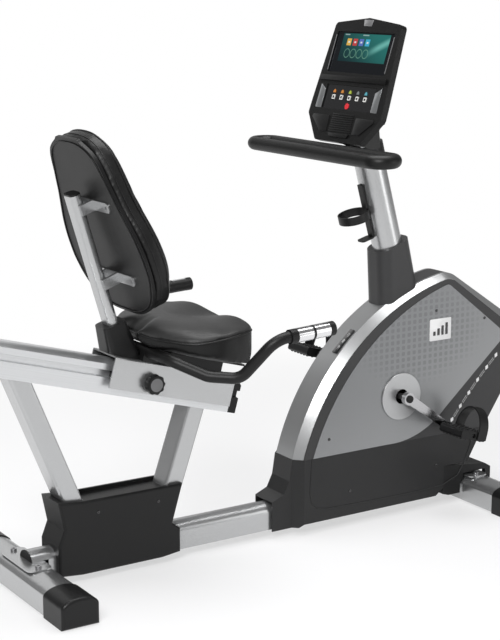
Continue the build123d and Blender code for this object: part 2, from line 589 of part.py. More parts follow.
def post_end_cap():
    length = (POST_TOP - POST_PLANE.origin.Z) / cos(radians(POST_LEAN))
    end = POST_PLANE.offset(length)
    plug = extrude(end * RectangleRounded(POST_WIDTH, POST_DEPTH, 12), amount=4)
    return plug + extrude(end * RectangleRounded(POST_WIDTH - 5, POST_DEPTH - 5, 9.5), amount=-12)


def post_boot():
    """Moulded shroud round the foot of the post, standing on the carriage."""
    foot = RectangleRounded(2 * BOOT_HALF_WIDTH, BOOT_DEPTH, 16)
    neck = RectangleRounded(2 * BOOT_HALF_WIDTH - 12, BOOT_DEPTH - 18, 14)
    boot = loft([POST_PLANE * foot, POST_PLANE.offset(BOOT_HEIGHT) * neck])
    boot += extrude(POST_PLANE * foot, amount=-30)
    boot -= along_rail(Pos(0, CARRIAGE_TOP - 150) * Rectangle(300, 300), -50, RAIL_LENGTH + 200)
    boot -= extrude(POST_PLANE.offset(-60) * RectangleRounded(POST_WIDTH + 2 * SEAT, POST_DEPTH + 2 * SEAT, 12.5),
                    amount=200)
    boot -= rod_y(HANDLE_CROSS_X, HANDLE_CROSS_Z, HANDLE_RADIUS + SEAT, -120, 120)
    return max(boot.solids(), key=lambda solid: solid.volume)


BACK_PLANE = Plane((BACK_LOW_X, 0, BACK_LOW_Z), x_dir=(0, 1, 0),
                   z_dir=(cos(radians(BACK_LEAN)), 0, sin(radians(BACK_LEAN))))


BACK_SHAPE = ((0.0, 0.0), (0.38, 0.009), (0.76, 0.083), (0.965, 0.22), (1.0, 0.33), (0.954, 0.47), (0.80, 0.64),
              (0.68, 0.80), (0.55, 0.925), (0.315, 0.985), (0.0, 1.0))   # shares of the half width and height


def back_outline(shrink=0.0):
    """Egg shape, widest low down, in the plane of the pad's rear face; local y runs up the pad."""
    wide, high = BACK_HALF_WIDTH - shrink, BACK_HEIGHT - 2 * shrink
    right = Spline(*[(across * wide, shrink + up * high) for across, up in BACK_SHAPE],
                   tangents=((1, 0), (-1, 0)))
    return make_face(right + mirror(right, Plane.YZ))


def backrest_cushion():
    """Plain stand-in for the upholstered back pad."""
    flat = BACK_THICK * 0.5
    pad = extrude(BACK_PLANE * back_outline(), amount=flat)
    return pad + loft([BACK_PLANE.offset(flat) * back_outline(),
                       BACK_PLANE.offset(BACK_THICK) * back_outline(BACK_TAPER)])


def backrest_board():
    """Moulded board behind the back pad."""
    return extrude(BACK_PLANE.offset(-BOARD_THICK - FIT) * back_outline(1.5), amount=BOARD_THICK)


BRACKET_HEIGHTS = (98.0, 288.0)
BRACKET_TALL, BRACKET_HALF, BRACKET_SHEET = 26.0, 107.0, 3.0


def post_gap(height):
    """Distance from the board's rear face back to the post's centre line at a height up the pad."""
    board = BACK_PLANE.origin + BACK_PLANE.y_dir * height - BACK_PLANE.z_dir * (BOARD_THICK + FIT)
    rise = board.Z - POST_PLANE.origin.Z
    post_x = POST_PLANE.origin.X - rise * tan(radians(POST_LEAN))
    return (board.X - post_x) * cos(radians(BACK_LEAN))


def backrest_brackets():
    """Bent straps that bolt the board to the post, with rounded ends and a hole in each."""
    straps = None
    for height in BRACKET_HEIGHTS:
        face = BACK_PLANE.offset(-BOARD_THICK - FIT - BRACKET_SHEET)
        place = Plane(face.origin + face.y_dir * height, x_dir=face.x_dir, z_dir=face.z_dir)
        outline = RectangleRounded(2 * BRACKET_HALF, BRACKET_TALL, 12)
        holes = Pos(BRACKET_HALF - 14, 0) * Circle(4) + Pos(-BRACKET_HALF + 14, 0) * Circle(4)
        strap = extrude(place * (outline - holes), amount=BRACKET_SHEET)
        reach = post_gap(height)
        web = Rectangle(8, BRACKET_TALL)
        legs = Pos(POST_WIDTH / 2 + 4 + FIT, 0) * web + Pos(-POST_WIDTH / 2 - 4 - FIT, 0) * web
        strap += extrude(place * legs, amount=-reach)
        strap -= extrude(place * (Pos(0, 0) * Rectangle(POST_WIDTH + 2 * FIT, BRACKET_TALL + 2)), amount=-reach)
        straps = strap if straps is None else straps + strap
    return straps


# ---------------------------------------------------------------- housing
REAR_FOOT = (86.0, SPLIT_Z)
REAR_MID = (236.0, 467.0)
APEX = (570.0, 645.0)
SHOULDER = (778.0, 496.0)
APEX_RADIUS = 45.0
NOSE = (NOSE_X - FRONT_PROUD, 410.0)
CHIN = (775.0, 318.0)
FRONT_FOOT = (700.0, SPLIT_Z)


def housing_outline(rear=0.0, top=0.0, front=0.0):
    """Side view of the upper housing, grown by different amounts at the rear, top and front."""
    foot = (REAR_FOOT[0] - rear, SPLIT_Z)
    mid = (REAR_MID[0] - rear * 0.74, REAR_MID[1] + rear * 0.68)
    apex = (APEX[0] + front * 0.35, APEX[1] + max(top, front * 0.55))
    shoulder = (SHOULDER[0] + front * 0.57, SHOULDER[1] + front * 0.82)
    nose = (NOSE[0] + front, NOSE[1])
    chin = (CHIN[0] + front * 0.8, CHIN[1] - front * 0.5)
    end = (FRONT_FOOT[0] + front * 0.8, SPLIT_Z)
    face = make_face(ThreePointArc(foot, mid, apex) + Line(apex, shoulder) +
                     ThreePointArc(shoulder, nose, chin) + Polyline(chin, end, foot))
    return fillet(face.vertices().sort_by(Axis.Y)[-1], APEX_RADIUS + front)


def spine_outline():
    """Side view of the raised spine."""
    return housing_outline(SPINE_PROUD, TOP_PROUD, FRONT_PROUD)


def spine_wedge(grow=0.0):
    """The room of the central spine, wide low down and narrower at the top."""
    low, high = SPINE_LOW_HALF + grow, SPINE_HIGH_HALF + grow
    section = polygon([(-low, 0), (low, 0), (low, SPLIT_Z), (high, 600), (high, 900), (-high, 900),
                       (-high, 600), (-low, SPLIT_Z)])
    return extrude(Plane((-100, 0, 0), x_dir=(0, 1, 0), z_dir=(1, 0, 0)) * section, amount=1200)


SHELL_INNER = HOUSING_HALF_WIDTH - WALL


def upper_room():
    """The free space inside the upper housing."""
    return side_slab(housing_outline(-WALL, -WALL, -WALL), -SHELL_INNER, SHELL_INNER)


def panel_outline(grow=0.0):
    """The light side panel: inside the rim, above the lower cover and behind the front split."""
    inset = -RIM_WIDTH + grow
    whole = housing_outline(inset, inset, inset)
    lower = make_face(Polyline((0, 150), (0, SPLIT_Z - grow), (360, SPLIT_Z - grow)) +
                      ThreePointArc((360, SPLIT_Z - grow), (480, 228 - grow), (558, 282 - grow)) +
                      Polyline((558, 282 - grow), (860, 540 - grow), (950, 500), (950, 150), (0, 150)))
    return whole - lower


def housing_shell(sign):
    """One side shell: the rim round the light panel, and the dark front."""
    y0, y1 = SPINE_LOW_HALF + FIT, HOUSING_HALF_WIDTH
    outer = side_slab(housing_outline(), y0, y1)
    shell = outer - upper_room()
    shell -= side_slab(panel_outline(), y1 - PANEL_DEPTH / 2, y1 + 1)
    shell -= mast_room(SEAT) + collar_room()
    shell -= rod_y(CRANK_X, CRANK_Z, 30, y0, y1 + 1)
    body = max(shell.solids(), key=lambda solid: solid.volume)
    return body if sign > 0 else mirrored(body)


def side_panel(sign):
    y1 = HOUSING_HALF_WIDTH
    panel = side_slab(panel_outline(-0.4), y1 - PANEL_DEPTH / 2, y1 + PANEL_DEPTH / 2)
    panel -= rod_y(CRANK_X, CRANK_Z, 30, y1 - 10, y1 + 10)
    return panel if sign > 0 else mirrored(panel)


def trim_strip(sign):
    """Bright strip between the spine and the side shell, curving down to the shell's edge."""
    wide = Plane.XZ.offset(-(HOUSING_HALF_WIDTH - 3))
    narrow = Plane.XZ.offset(-SPINE_LOW_HALF)
    ring_solid = loft([wide * housing_outline(0.6, 0.6, 0.6),
                       narrow * spine_outline()])
    ring_solid += side_slab(spine_outline(), SPINE_HIGH_HALF, SPINE_LOW_HALF)
    ring_solid -= side_slab(housing_outline(), SPINE_LOW_HALF + FIT / 2, HOUSING_HALF_WIDTH)
    ring_solid -= side_slab(housing_outline(-WALL, -WALL, -WALL), 0, SPINE_LOW_HALF + FIT)
    ring_solid -= spine_wedge(FIT)
    ring_solid -= mast_room(SEAT) + collar_room()
    body = max(ring_solid.solids(), key=lambda solid: solid.volume)
    return body if sign > 0 else mirrored(body)


def spine_hoop():
    hoop = side_slab(spine_outline(), -SPINE_LOW_HALF, SPINE_LOW_HALF)
    hoop -= side_slab(housing_outline(-WALL, -WALL, -WALL), -SPINE_LOW_HALF - 1, SPINE_LOW_HALF + 1)
    hoop &= spine_wedge()
    return hoop - block(-200, 1000, -100, 100, SPLIT_Z - 1, SPLIT_Z)


TOP_COVER_START, TOP_COVER_END = 455.0, 590.0


def spine_band():
    """Bright central band, behind and in front of the mast collar."""
    band = spine_hoop() - block(TOP_COVER_START, 1000, -100, 100, SPLIT_Z, 1000)
    band -= mast_room(SEAT) + collar_room()
    return max(band.solids(), key=lambda solid: solid.volume)


def top_cover():
    """Dark cover in front of the collar that runs down the nose."""
    cover = spine_hoop() & block(TOP_COVER_START + FIT, 1000, -100, 100, SPLIT_Z, 1000)
    cover -= mast_room(SEAT) + collar_room()
    return max(cover.solids(), key=lambda solid: solid.volume)


LOWER_REAR_X, LOWER_FRONT_X = 64.0, 643.0
LOWER_TAIL_X, LOWER_TAIL_HALF = 2.0, 41.0


def lower_outline(grow=0.0):
    """Side view of the lower covers, flared behind into a sleeve over the base tube."""
    return polygon([(LOWER_REAR_X - grow, SPLIT_Z - FIT), (LOWER_REAR_X - 9 - grow, 150),
                    (LOWER_REAR_X - 26 - grow, 116 + grow), (LOWER_TAIL_X, 101 + grow), (LOWER_TAIL_X, BASE_LOW - 4),
                    (LOWER_REAR_X + 14, BASE_LOW - 4), (LOWER_REAR_X + 24, HOUSING_LOW - grow),
                    (LOWER_FRONT_X - 110, HOUSING_LOW - grow), (LOWER_FRONT_X + grow, 111),
                    (FRONT_FOOT[0] + grow, SPLIT_Z - FIT)])


def lower_plan(inset=0.0):
    """Plan of the lower covers' left half: narrow round the base tube, then widening to the housing."""
    tail, half = LOWER_TAIL_HALF - inset, HOUSING_HALF_WIDTH - inset
    plan = polygon([(-50, -2), (-50, tail), (LOWER_REAR_X, tail), (LOWER_REAR_X + 24, half), (900, half), (900, -2)])
    return extrude(plan, amount=300)


def lower_cover(sign):
    """One half of the lower cover, with a sleeve over the base tube behind."""
    outer = side_slab(lower_outline(), 0, 200) & lower_plan()
    room = side_slab(lower_outline(-WALL), -1, 200) + block(LOWER_REAR_X + 6, FRONT_FOOT[0] - 4, -1, 200, 150,
                                                            SPLIT_Z + 1)
    cover = outer - (room & lower_plan(WALL))
    cover -= base_bar(-100, 900, SEAT)
    cover -= block(-100, 900, -10, BASE_WIDTH / 2 + SEAT, 0, BASE_LOW + 10)
    cover -= front_cover_room()
    cover -= mast_room(SEAT)
    body = max(cover.solids(), key=lambda solid: solid.volume)
    return body if sign > 0 else mirrored(body)


def front_cover_room(grow=FIT):
    return block(FRONT_COVER_REAR - grow, 900, -120, 120, 0, FRONT_COVER_TOP + grow)


FRONT_COVER_REAR, FRONT_COVER_TOP = 560.0, 112.0
FRONT_COVER_HALF = HOUSING_HALF_WIDTH - 1


def front_base_cover():
    """Cover over the front cross tube, arched round it on both sides."""
    front = FRONT_STABILISER_X + STABILISER_DEPTH / 2 + 14
    outline = polygon([(FRONT_COVER_REAR, 30), (FRONT_COVER_REAR, FRONT_COVER_TOP), (front - 20, 96),
                       (front, 84), (front, 24), (FRONT_COVER_REAR + 20, 24)])
    cover = side_slab(outline, -FRONT_COVER_HALF, FRONT_COVER_HALF)
    cover -= side_slab(polygon([(FRONT_COVER_REAR + 4, 0), (FRONT_COVER_REAR + 4, FRONT_COVER_TOP - 7),
                                (front - 22, 91), (front - 4, 80), (front - 4, 0)]),
                       -FRONT_COVER_HALF + 4, FRONT_COVER_HALF - 4)
    cover -= stabiliser_bar(FRONT_STABILISER_X, -200, 200, 6.0)
    cover -= block(FRONT_STABILISER_X - 51, FRONT_STABILISER_X + 51, -100, 100, 0, 40)
    cover -= base_bar(-100, 900, SEAT) + mast_bar(LOWER_MAST_RADIUS + SEAT, 60, 200)
    cover -= block(0, 900, -BASE_WIDTH / 2 - SEAT, BASE_WIDTH / 2 + SEAT, 0, BASE_LOW + 10)
    cover -= block(FRONT_STABILISER_X - 40, FRONT_STABILISER_X + 40, -200, 200, SADDLE_LOW - 1,
                   SADDLE_LOW + SADDLE_THICK + BOLT_HEAD + 2)
    return max(cover.solids(), key=lambda solid: solid.volume)


def collar_room():
    """Outside of the mast collar, grown a little."""
    return collar_outer(0.4)


COLLAR_GAP = 5.5                             # beside the mast, to the outside


def collar_section(height, length, grow):
    """Rounded section of the collar at a height, set round the mast."""
    width = 2 * (MAST_RADIUS + COLLAR_GAP + grow)
    place = Plane((mast_x(height), 0, height))
    return place * RectangleRounded(length + 2 * grow, width, MAST_RADIUS - 8)


def collar_outer(grow=0.0):
    """Tapered outside, longer at the foot where the mast's slope meets the housing."""
    foot = Pos(-COLLAR_FOOT_BACK, 0, 0) * collar_section(COLLAR_LOW, 142, grow)
    return loft([foot, Pos(COLLAR_HEAD_FORWARD, 0, 0) * collar_section(COLLAR_TOP, 98, grow)])


COLLAR_FOOT_BACK, COLLAR_HEAD_FORWARD = 24.0, 7.0


def mast_collar():
    """Tapered shroud where the mast enters the housing."""
    collar = collar_outer() - (collar_outer(-WALL) & block(0, 900, -90, 90, 0, COLLAR_REAR_RISE - 12))
    collar -= mast_room(SEAT)
    slope = (COLLAR_FRONT_RISE - COLLAR_REAR_RISE) / 100
    x0, x1 = 200, 600
    rise = COLLAR_REAR_RISE - (350 - x0) * slope, COLLAR_REAR_RISE + (x1 - 350) * slope
    return collar - side_slab(polygon([(x0, rise[0]), (x1, rise[1]), (x1, 1000), (x0, 1000)]), -100, 100)


MAST_PLANE = lean_plane(MAST_X, MAST_Z, MAST_LEAN)


def mast_range(low, high):
    """Distances along the mast from its reference point, for two heights."""
    rise = cos(radians(MAST_LEAN))
    return (low - MAST_Z) / rise, (high - MAST_Z) / rise


def mast_bar(radius, low, high):
    start, end = mast_range(low, high)
    return extrude(MAST_PLANE.offset(start) * Circle(radius), amount=end - start)


def mast_room(grow):
    return mast_bar(MAST_RADIUS + grow, MAST_FOOT - 60, MAST_TOP)


MAST_SLEEVE_LOW = COLLAR_LOW + 30.0


def console_mast():
    """Upper mast, slipped over the lower one."""
    mast = mast_bar(MAST_RADIUS, MAST_SLEEVE_LOW, MAST_TOP) - mast_bar(MAST_RADIUS - MAST_WALL, 400, MAST_TOP + 50)
    return mast & behind_bezel()


def mast_x(z):
    return MAST_X - (z - MAST_Z) * tan(radians(MAST_LEAN))


def lower_frame():
    """Lower mast tube, crank bearing shell and flywheel fork, welded together."""
    outer = mast_bar(LOWER_MAST_RADIUS, MAST_FOOT - 30, MAST_JOIN)
    shell = rod_y(CRANK_X, CRANK_Z, SHELL_RADIUS, -SHELL_HALF, SHELL_HALF)
    gusset = side_slab(polygon([(CRANK_X, CRANK_Z - 20), (mast_x(CRANK_Z - 60), CRANK_Z - 60),
                                (mast_x(CRANK_Z + 60), CRANK_Z + 60), (CRANK_X, CRANK_Z + 20)]), -30, -24)
    fork = side_slab(polygon([(mast_x(FLYWHEEL_Z) , FLYWHEEL_Z - 40), (FLYWHEEL_X + 14, FLYWHEEL_Z - 18),
                              (FLYWHEEL_X + 14, FLYWHEEL_Z + 18), (mast_x(FLYWHEEL_Z), FLYWHEEL_Z + 40)]),
                     FORK_Y, FORK_Y + FORK_PLATE)
    body = outer + shell + gusset + mirrored(gusset) + fork + mirrored(fork)
    body -= mast_bar(LOWER_MAST_RADIUS - MAST_WALL, 0, MAST_JOIN + 50)
    body -= rod_y(CRANK_X, CRANK_Z, BEARING_RADIUS, -SHELL_HALF - 1, SHELL_HALF + 1)
    body -= rod_y(FLYWHEEL_X, FLYWHEEL_Z, FLYWHEEL_AXLE_RADIUS + RUNNING, -60, 60)
    body -= base_bar(0, 900)
    body &= block(0, 900, -100, 100, BASE_LOW + BASE_SIDE, 1000)
    return max(body.solids(), key=lambda solid: solid.volume)


# ---------------------------------------------------------------- drive
def crank_bearings():
    bearing = rod_y(CRANK_X, CRANK_Z, BEARING_RADIUS, SHELL_HALF - BEARING_WIDTH, SHELL_HALF)
    bearing -= rod_y(CRANK_X, CRANK_Z, AXLE_RADIUS + RUNNING, 0, SHELL_HALF + 1)
    return bearing + mirrored(bearing)


def crank_end(sign):
    """Place of a pedal axis."""
    angle = radians(CRANK_ANGLE)
    return CRANK_X + sign * CRANK_LENGTH * cos(angle), CRANK_Z + sign * CRANK_LENGTH * sin(angle)


def crank_axle():
    return rod_y(CRANK_X, CRANK_Z, AXLE_RADIUS, -CRANK_Y - CRANK_ARM_THICK / 2, CRANK_Y + CRANK_ARM_THICK / 2)


def drive_pulley():
    pulley = rod_y(CRANK_X, CRANK_Z, PULLEY_RADIUS, PULLEY_Y - PULLEY_WIDTH / 2, PULLEY_Y + PULLEY_WIDTH / 2)
    for side in (-1, 1):
        face = PULLEY_Y + side * PULLEY_WIDTH / 2
        lip = rod_y(CRANK_X, CRANK_Z, PULLEY_RADIUS - 10, face - 3.5, face + 3.5)
        pulley -= lip - rod_y(CRANK_X, CRANK_Z, 30, face - 4, face + 4)
    return pulley - rod_y(CRANK_X, CRANK_Z, AXLE_RADIUS, 0, 200)


def crank_arm(near):
    """Forged arm with bosses at both ends; near is the rider's right."""
    sign, side = (1, -1) if near else (-1, 1)
    y0, y1 = sorted((side * (CRANK_Y - CRANK_ARM_THICK / 2), side * (CRANK_Y + CRANK_ARM_THICK / 2)))
    end_x, end_z = crank_end(sign)
    length = hypot(end_x - CRANK_X, end_z - CRANK_Z)
    tapered = Polyline((0, -13), (length, -10), (length, 10), (0, 13), close=True)
    arm_face = make_face(tapered) + Circle(17) + Pos(length, 0) * Circle(14)
    turn = degrees(atan2(end_z - CRANK_Z, end_x - CRANK_X))
    plane = Plane((CRANK_X, y1, CRANK_Z), x_dir=(cos(radians(turn)), 0, sin(radians(turn))), z_dir=(0, -1, 0))
    arm = extrude(plane * arm_face, amount=y1 - y0)
    arm -= rod_y(CRANK_X, CRANK_Z, AXLE_RADIUS, -300, 300)
    return arm - rod_y(end_x, end_z, PEDAL_SPINDLE_RADIUS, -300, 300)


def pedal_spindle(near):
    sign, side = (1, -1) if near else (-1, 1)
    x, z = crank_end(sign)
    y0, y1 = sorted((side * (CRANK_Y - CRANK_ARM_THICK / 2), side * (PEDAL_Y + PEDAL_LENGTH / 2 - 8)))
    return rod_y(x, z, PEDAL_SPINDLE_RADIUS, y0, y1)


PEDAL_LEVEL = -16.0                          # tilt of the tread at rest, degrees


def pedal_plane(near):
    sign, side = (1, -1) if near else (-1, 1)
    x, z = crank_end(sign)
    return Plane((x, side * PEDAL_Y, z), x_dir=(cos(radians(PEDAL_LEVEL)), 0, sin(radians(PEDAL_LEVEL))),
                 z_dir=(0, -side, 0))


def pedal(near):
    """Wide platform pedal with a boss round the spindle."""
    plane = pedal_plane(near)
    side = -1 if near else 1
    tread = RectangleRounded(PEDAL_WIDTH, PEDAL_THICK, 7)
    body = extrude(plane * tread, amount=PEDAL_LENGTH / 2, both=True)
    x, z = crank_end(1 if near else -1)
    y0, y1 = sorted((side * (CRANK_Y + CRANK_ARM_THICK / 2 + 4), side * PEDAL_Y))
    body += rod_y(x, z, PEDAL_BOSS_RADIUS, y0, y1)
    return body - rod_y(x, z, PEDAL_SPINDLE_RADIUS + RUNNING, -260, 260)


def pedal_strap(near):
    """Rubber strap arched over the tread from its inner end to its outer end."""
    tread = pedal_plane(near)
    origin = tread.origin + tread.x_dir * (STRAP_FORWARD - STRAP_WIDTH / 2)
    across = Plane(origin, x_dir=(0, 1, 0), z_dir=tread.x_dir)
    up = PEDAL_THICK / 2 if across.y_dir.Z > 0 else -PEDAL_THICK / 2
    half = PEDAL_LENGTH / 2 + FIT
    arch = Ellipse(half + STRAP_THICK, STRAP_RISE + STRAP_THICK) - Ellipse(half, STRAP_RISE)
    arch &= Pos(0, up * 10) * Rectangle(4 * half, abs(up) * 20)
    ends = Rectangle(2 * (half + STRAP_THICK), PEDAL_THICK - 4) - Rectangle(2 * half, PEDAL_THICK)
    ends = Pos(0, up / 6) * ends
    return extrude(across * (Pos(0, up) * arch + ends), amount=STRAP_WIDTH)


def crank_disc(sign):
    """Light disc that closes the hole in the side panel round the crank axle."""
    y0 = HOUSING_HALF_WIDTH + PANEL_DEPTH / 2 + FIT
    disc = rod_y(CRANK_X, CRANK_Z, DISC_RADIUS, y0, y0 + DISC_THICK)
    disc = fillet(disc.edges().sort_by(Axis.Y)[-1], 2)
    disc -= rod_y(CRANK_X, CRANK_Z, AXLE_RADIUS + 12, 0, 200)
    return disc if sign > 0 else mirrored(disc)


def flywheel():
    """Heavy rim and web on its axle, with the small belt pulley on the left end."""
    wheel = rod_y(FLYWHEEL_X, FLYWHEEL_Z, FLYWHEEL_RADIUS, -FLYWHEEL_HALF, FLYWHEEL_HALF)
    for side in (-1, 1):
        face = side * FLYWHEEL_HALF
        dish = rod_y(FLYWHEEL_X, FLYWHEEL_Z, FLYWHEEL_RADIUS - 26, face - 8, face + 8)
        wheel -= dish - rod_y(FLYWHEEL_X, FLYWHEEL_Z, 24, face - 9, face + 9)
    axle = rod_y(FLYWHEEL_X, FLYWHEEL_Z, FLYWHEEL_AXLE_RADIUS, -FORK_Y - FORK_PLATE - 8,
                 PULLEY_Y + PULLEY_WIDTH / 2 + 4)
    small = rod_y(FLYWHEEL_X, FLYWHEEL_Z, SMALL_PULLEY_RADIUS, PULLEY_Y - PULLEY_WIDTH / 2,
                  PULLEY_Y + PULLEY_WIDTH / 2)
    return wheel + axle + small


def belt_loop(grow):
    """Outline of an open belt round both pulleys."""
    dx, dz = FLYWHEEL_X - CRANK_X, FLYWHEEL_Z - CRANK_Z
    span = hypot(dx, dz)
    tilt = atan2(dz, dx)
    big, small = PULLEY_RADIUS + grow, SMALL_PULLEY_RADIUS + grow
    quarter = radians(90)
    lean = atan2(big - small, sqrt(span ** 2 - (big - small) ** 2))

    def at(cx, cz, radius, angle):
        return cx + radius * cos(angle), cz + radius * sin(angle)

    up, down = tilt + quarter - lean, tilt - quarter + lean
    b_up, b_down = at(CRANK_X, CRANK_Z, big, up), at(CRANK_X, CRANK_Z, big, down)
    s_up = at(FLYWHEEL_X, FLYWHEEL_Z, small, up)
    s_down = at(FLYWHEEL_X, FLYWHEEL_Z, small, down)
    back = at(CRANK_X, CRANK_Z, big, tilt + radians(180))
    nose = at(FLYWHEEL_X, FLYWHEEL_Z, small, tilt)
    return make_face(Line(b_up, s_up) + ThreePointArc(s_up, nose, s_down) + Line(s_down, b_down) +
                     ThreePointArc(b_down, back, b_up))


def drive_belt():
    y0, y1 = PULLEY_Y - PULLEY_WIDTH / 2 + 1, PULLEY_Y + PULLEY_WIDTH / 2 - 1
    return side_slab(belt_loop(FIT + BELT_THICK) - belt_loop(FIT), y0, y1)


def brake_magnet():
    """Magnetic brake shoe that straddles the flywheel's rim on an arm from the mast."""
    reach = FLYWHEEL_RADIUS - 16
    top = FLYWHEEL_Z + FLYWHEEL_RADIUS + 14
    shoe = block(FLYWHEEL_X - 34, FLYWHEEL_X + 34, -FORK_Y + 1, FORK_Y - 1, FLYWHEEL_Z + reach - 14, top)
    shoe -= block(FLYWHEEL_X - 40, FLYWHEEL_X + 40, -FLYWHEEL_HALF - 1.5, FLYWHEEL_HALF + 1.5, 0,
                  FLYWHEEL_Z + FLYWHEEL_RADIUS + 4)
    arm = side_slab(polygon([(mast_x(top) + LOWER_MAST_RADIUS - 6, top + 30), (mast_x(top) + LOWER_MAST_RADIUS - 6, top),
                             (FLYWHEEL_X - 20, top - 4), (FLYWHEEL_X - 20, top)]), -8, 8)
    body = shoe + arm
    return body - mast_bar(LOWER_MAST_RADIUS, 100, MAST_JOIN)


# ---------------------------------------------------------------- bottle cage
CAGE_LOW, CAGE_HIGH = 780.0, 922.0
CAGE_RADIUS, CAGE_WALL, CAGE_BAND, CAGE_STRIP = 38.5, 3.5, 22.0, 6.0


def bottle_cage():
    """Open ring and foot on a strip that screws to the back of the mast."""
    start, end = mast_range(CAGE_LOW, CAGE_HIGH)
    length = end - start
    back = MAST_RADIUS + FIT
    base = MAST_PLANE.offset(start)
    strip = extrude(base * (Pos(0, back + CAGE_STRIP / 2) * Rectangle(20, CAGE_STRIP)), amount=length)
    outer = CAGE_RADIUS + CAGE_WALL
    band = Pos(0, back + outer + 2) * (Circle(outer) - Circle(CAGE_RADIUS))
    ring = extrude(base.offset(length * 0.42) * band, amount=CAGE_BAND)
    foot = extrude(base * (Pos(0, back + 22) * RectangleRounded(30, 40, 8)), amount=4)
    return strip + ring + foot


# ---------------------------------------------------------------- handlebar and console
def handlebar():
    """Closed flat loop, foam covered."""
    half = BAR_HALF_LENGTH - BAR_DEPTH / 2
    rod = rod_y(BAR_X, BAR_Z, BAR_RADIUS, -half, half) + rod_y(BAR_X + BAR_DEPTH, BAR_Z, BAR_RADIUS, -half, half)
    bend = revolve(Plane((BAR_X, half, BAR_Z), x_dir=(1, 0, 0), z_dir=(0, -1, 0)) * Circle(BAR_RADIUS),
                   axis=Axis((BAR_X + BAR_DEPTH / 2, half, BAR_Z), (0, 0, 1)), revolution_arc=-180)
    return rod + bend + mirrored(bend)


def handlebar_clamp():
    """Arm from the mast to the handlebar's front rail, with a ring round the mast."""
    arm = block(BAR_X + BAR_DEPTH, mast_x(BAR_Z), -26, 26, BAR_Z - 20, BAR_Z + 8)
    arm = fillet(arm.edges().filter_by(Axis.X), 8)
    body = arm + mast_bar(MAST_RADIUS + 5, BAR_Z - 26, BAR_Z + 12)
    body -= mast_bar(MAST_RADIUS, 800, 1200)
    return body - rod_y(BAR_X + BAR_DEPTH, BAR_Z, BAR_RADIUS, -100, 100)


CONSOLE_PLANE = Plane((CONSOLE_X, 0, CONSOLE_Z), x_dir=(0, -1, 0),
                      z_dir=(-cos(radians(CONSOLE_TILT)), 0, sin(radians(CONSOLE_TILT))))


def console_outline(shrink=0.0):
    """Face of the console; local x to the rider's right, local y up the face."""
    foot, wide, top = CONSOLE_FOOT_HALF - shrink, CONSOLE_WIDE_HALF - shrink, CONSOLE_TOP_HALF - shrink
    high = CONSOLE_HEIGHT - shrink
    face = polygon([(-foot, shrink), (foot, shrink), (wide, 70), (wide - 2, 110), (top, high - 15), (0, high),
                    (-top, high - 15), (-wide + 2, 110), (-wide, 70)])
    return face


def rounded_prism(plane, face, amount, radius):
    solid = extrude(plane * face, amount=amount)
    return fillet(solid.edges().filter_by(Axis(plane.origin, plane.z_dir)), radius)


def console_bezel():
    """Front frame with recesses for the screen and the keypad."""
    body = rounded_prism(CONSOLE_PLANE.offset(-CONSOLE_BEZEL), console_outline(), CONSOLE_BEZEL, 12)
    for half, low, high in ((SCREEN_HALF, SCREEN_LOW, SCREEN_HIGH), (KEYPAD_HALF, KEYPAD_LOW, KEYPAD_HIGH)):
        room = Pos(0, (low + high) / 2) * Rectangle(2 * half + 2 * FIT, high - low + 2 * FIT)
        body -= extrude(CONSOLE_PLANE.offset(-RECESS) * room, amount=RECESS + 1)
    body -= key_rooms(-CONSOLE_BEZEL + 3)
    return body


RECESS = 6.0
PANE = 3.0


def console_shape(grow=0.0):
    """Outside of the rear shell, thinner towards its edge."""
    rear = CONSOLE_PLANE.offset(-CONSOLE_BEZEL - CONSOLE_BACK - grow)
    front = CONSOLE_PLANE.offset(-CONSOLE_BEZEL)
    return loft([rear * console_outline(46 - grow), front * console_outline(3 - grow)])


def behind_bezel():
    """Everything on the mast's side of the bezel."""
    return extrude(CONSOLE_PLANE.offset(-CONSOLE_BEZEL - FIT) * Rectangle(2000, 2000), amount=-600)


def console_back():
    """Rear shell of the console, with a socket that slips over the head of the mast."""
    socket = mast_bar(MAST_RADIUS + SEAT + 4, MAST_TOP - 45, MAST_TOP + 6) & behind_bezel()
    rear = CONSOLE_PLANE.offset(-CONSOLE_BEZEL - CONSOLE_BACK)
    front = CONSOLE_PLANE.offset(-CONSOLE_BEZEL)
    inner = loft([rear.offset(WALL) * console_outline(46 + WALL), front * console_outline(3 + WALL)])
    body = console_shape() - inner + socket
    return body - mast_bar(MAST_RADIUS + SEAT, 900, MAST_TOP + 1)


def console_bracket():
    """Pair of steel cheeks beside the mast that carry the console."""
    low_x = mast_x(BAR_Z + 40)
    cheek = side_slab(polygon([(low_x - 62, BAR_Z + 24), (low_x - 12, BAR_Z), (low_x + 20, BAR_Z + 4),
                               (low_x + 14, BAR_Z + 62), (low_x - 40, BAR_Z + 52)]),
                      MAST_RADIUS + SEAT + 4 + FIT, MAST_RADIUS + SEAT + 8 + FIT)
    cheek -= console_shape(0.5)
    cheek &= behind_bezel()
    cheek = max(cheek.solids(), key=lambda solid: solid.volume)
    return cheek + mirrored(cheek)


def screen():
    room = Pos(0, (SCREEN_LOW + SCREEN_HIGH) / 2) * Rectangle(2 * SCREEN_HALF, SCREEN_HIGH - SCREEN_LOW)
    return extrude(CONSOLE_PLANE.offset(-RECESS) * room, amount=PANE)


def keypad():
    room = Pos(0, (KEYPAD_LOW + KEYPAD_HIGH) / 2) * Rectangle(2 * KEYPAD_HALF, KEYPAD_HIGH - KEYPAD_LOW)
    pad = extrude(CONSOLE_PLANE.offset(-RECESS) * room, amount=PANE)
    return pad - key_rooms(-RECESS - 1)


def key_places():
    return [(KEY_PITCH * (i - 2), KEY_V) for i in range(5)]


STOP_PLACE, STOP_RADIUS = (0.0, 96.0), 8.0
KEY_ROOM = 0.4


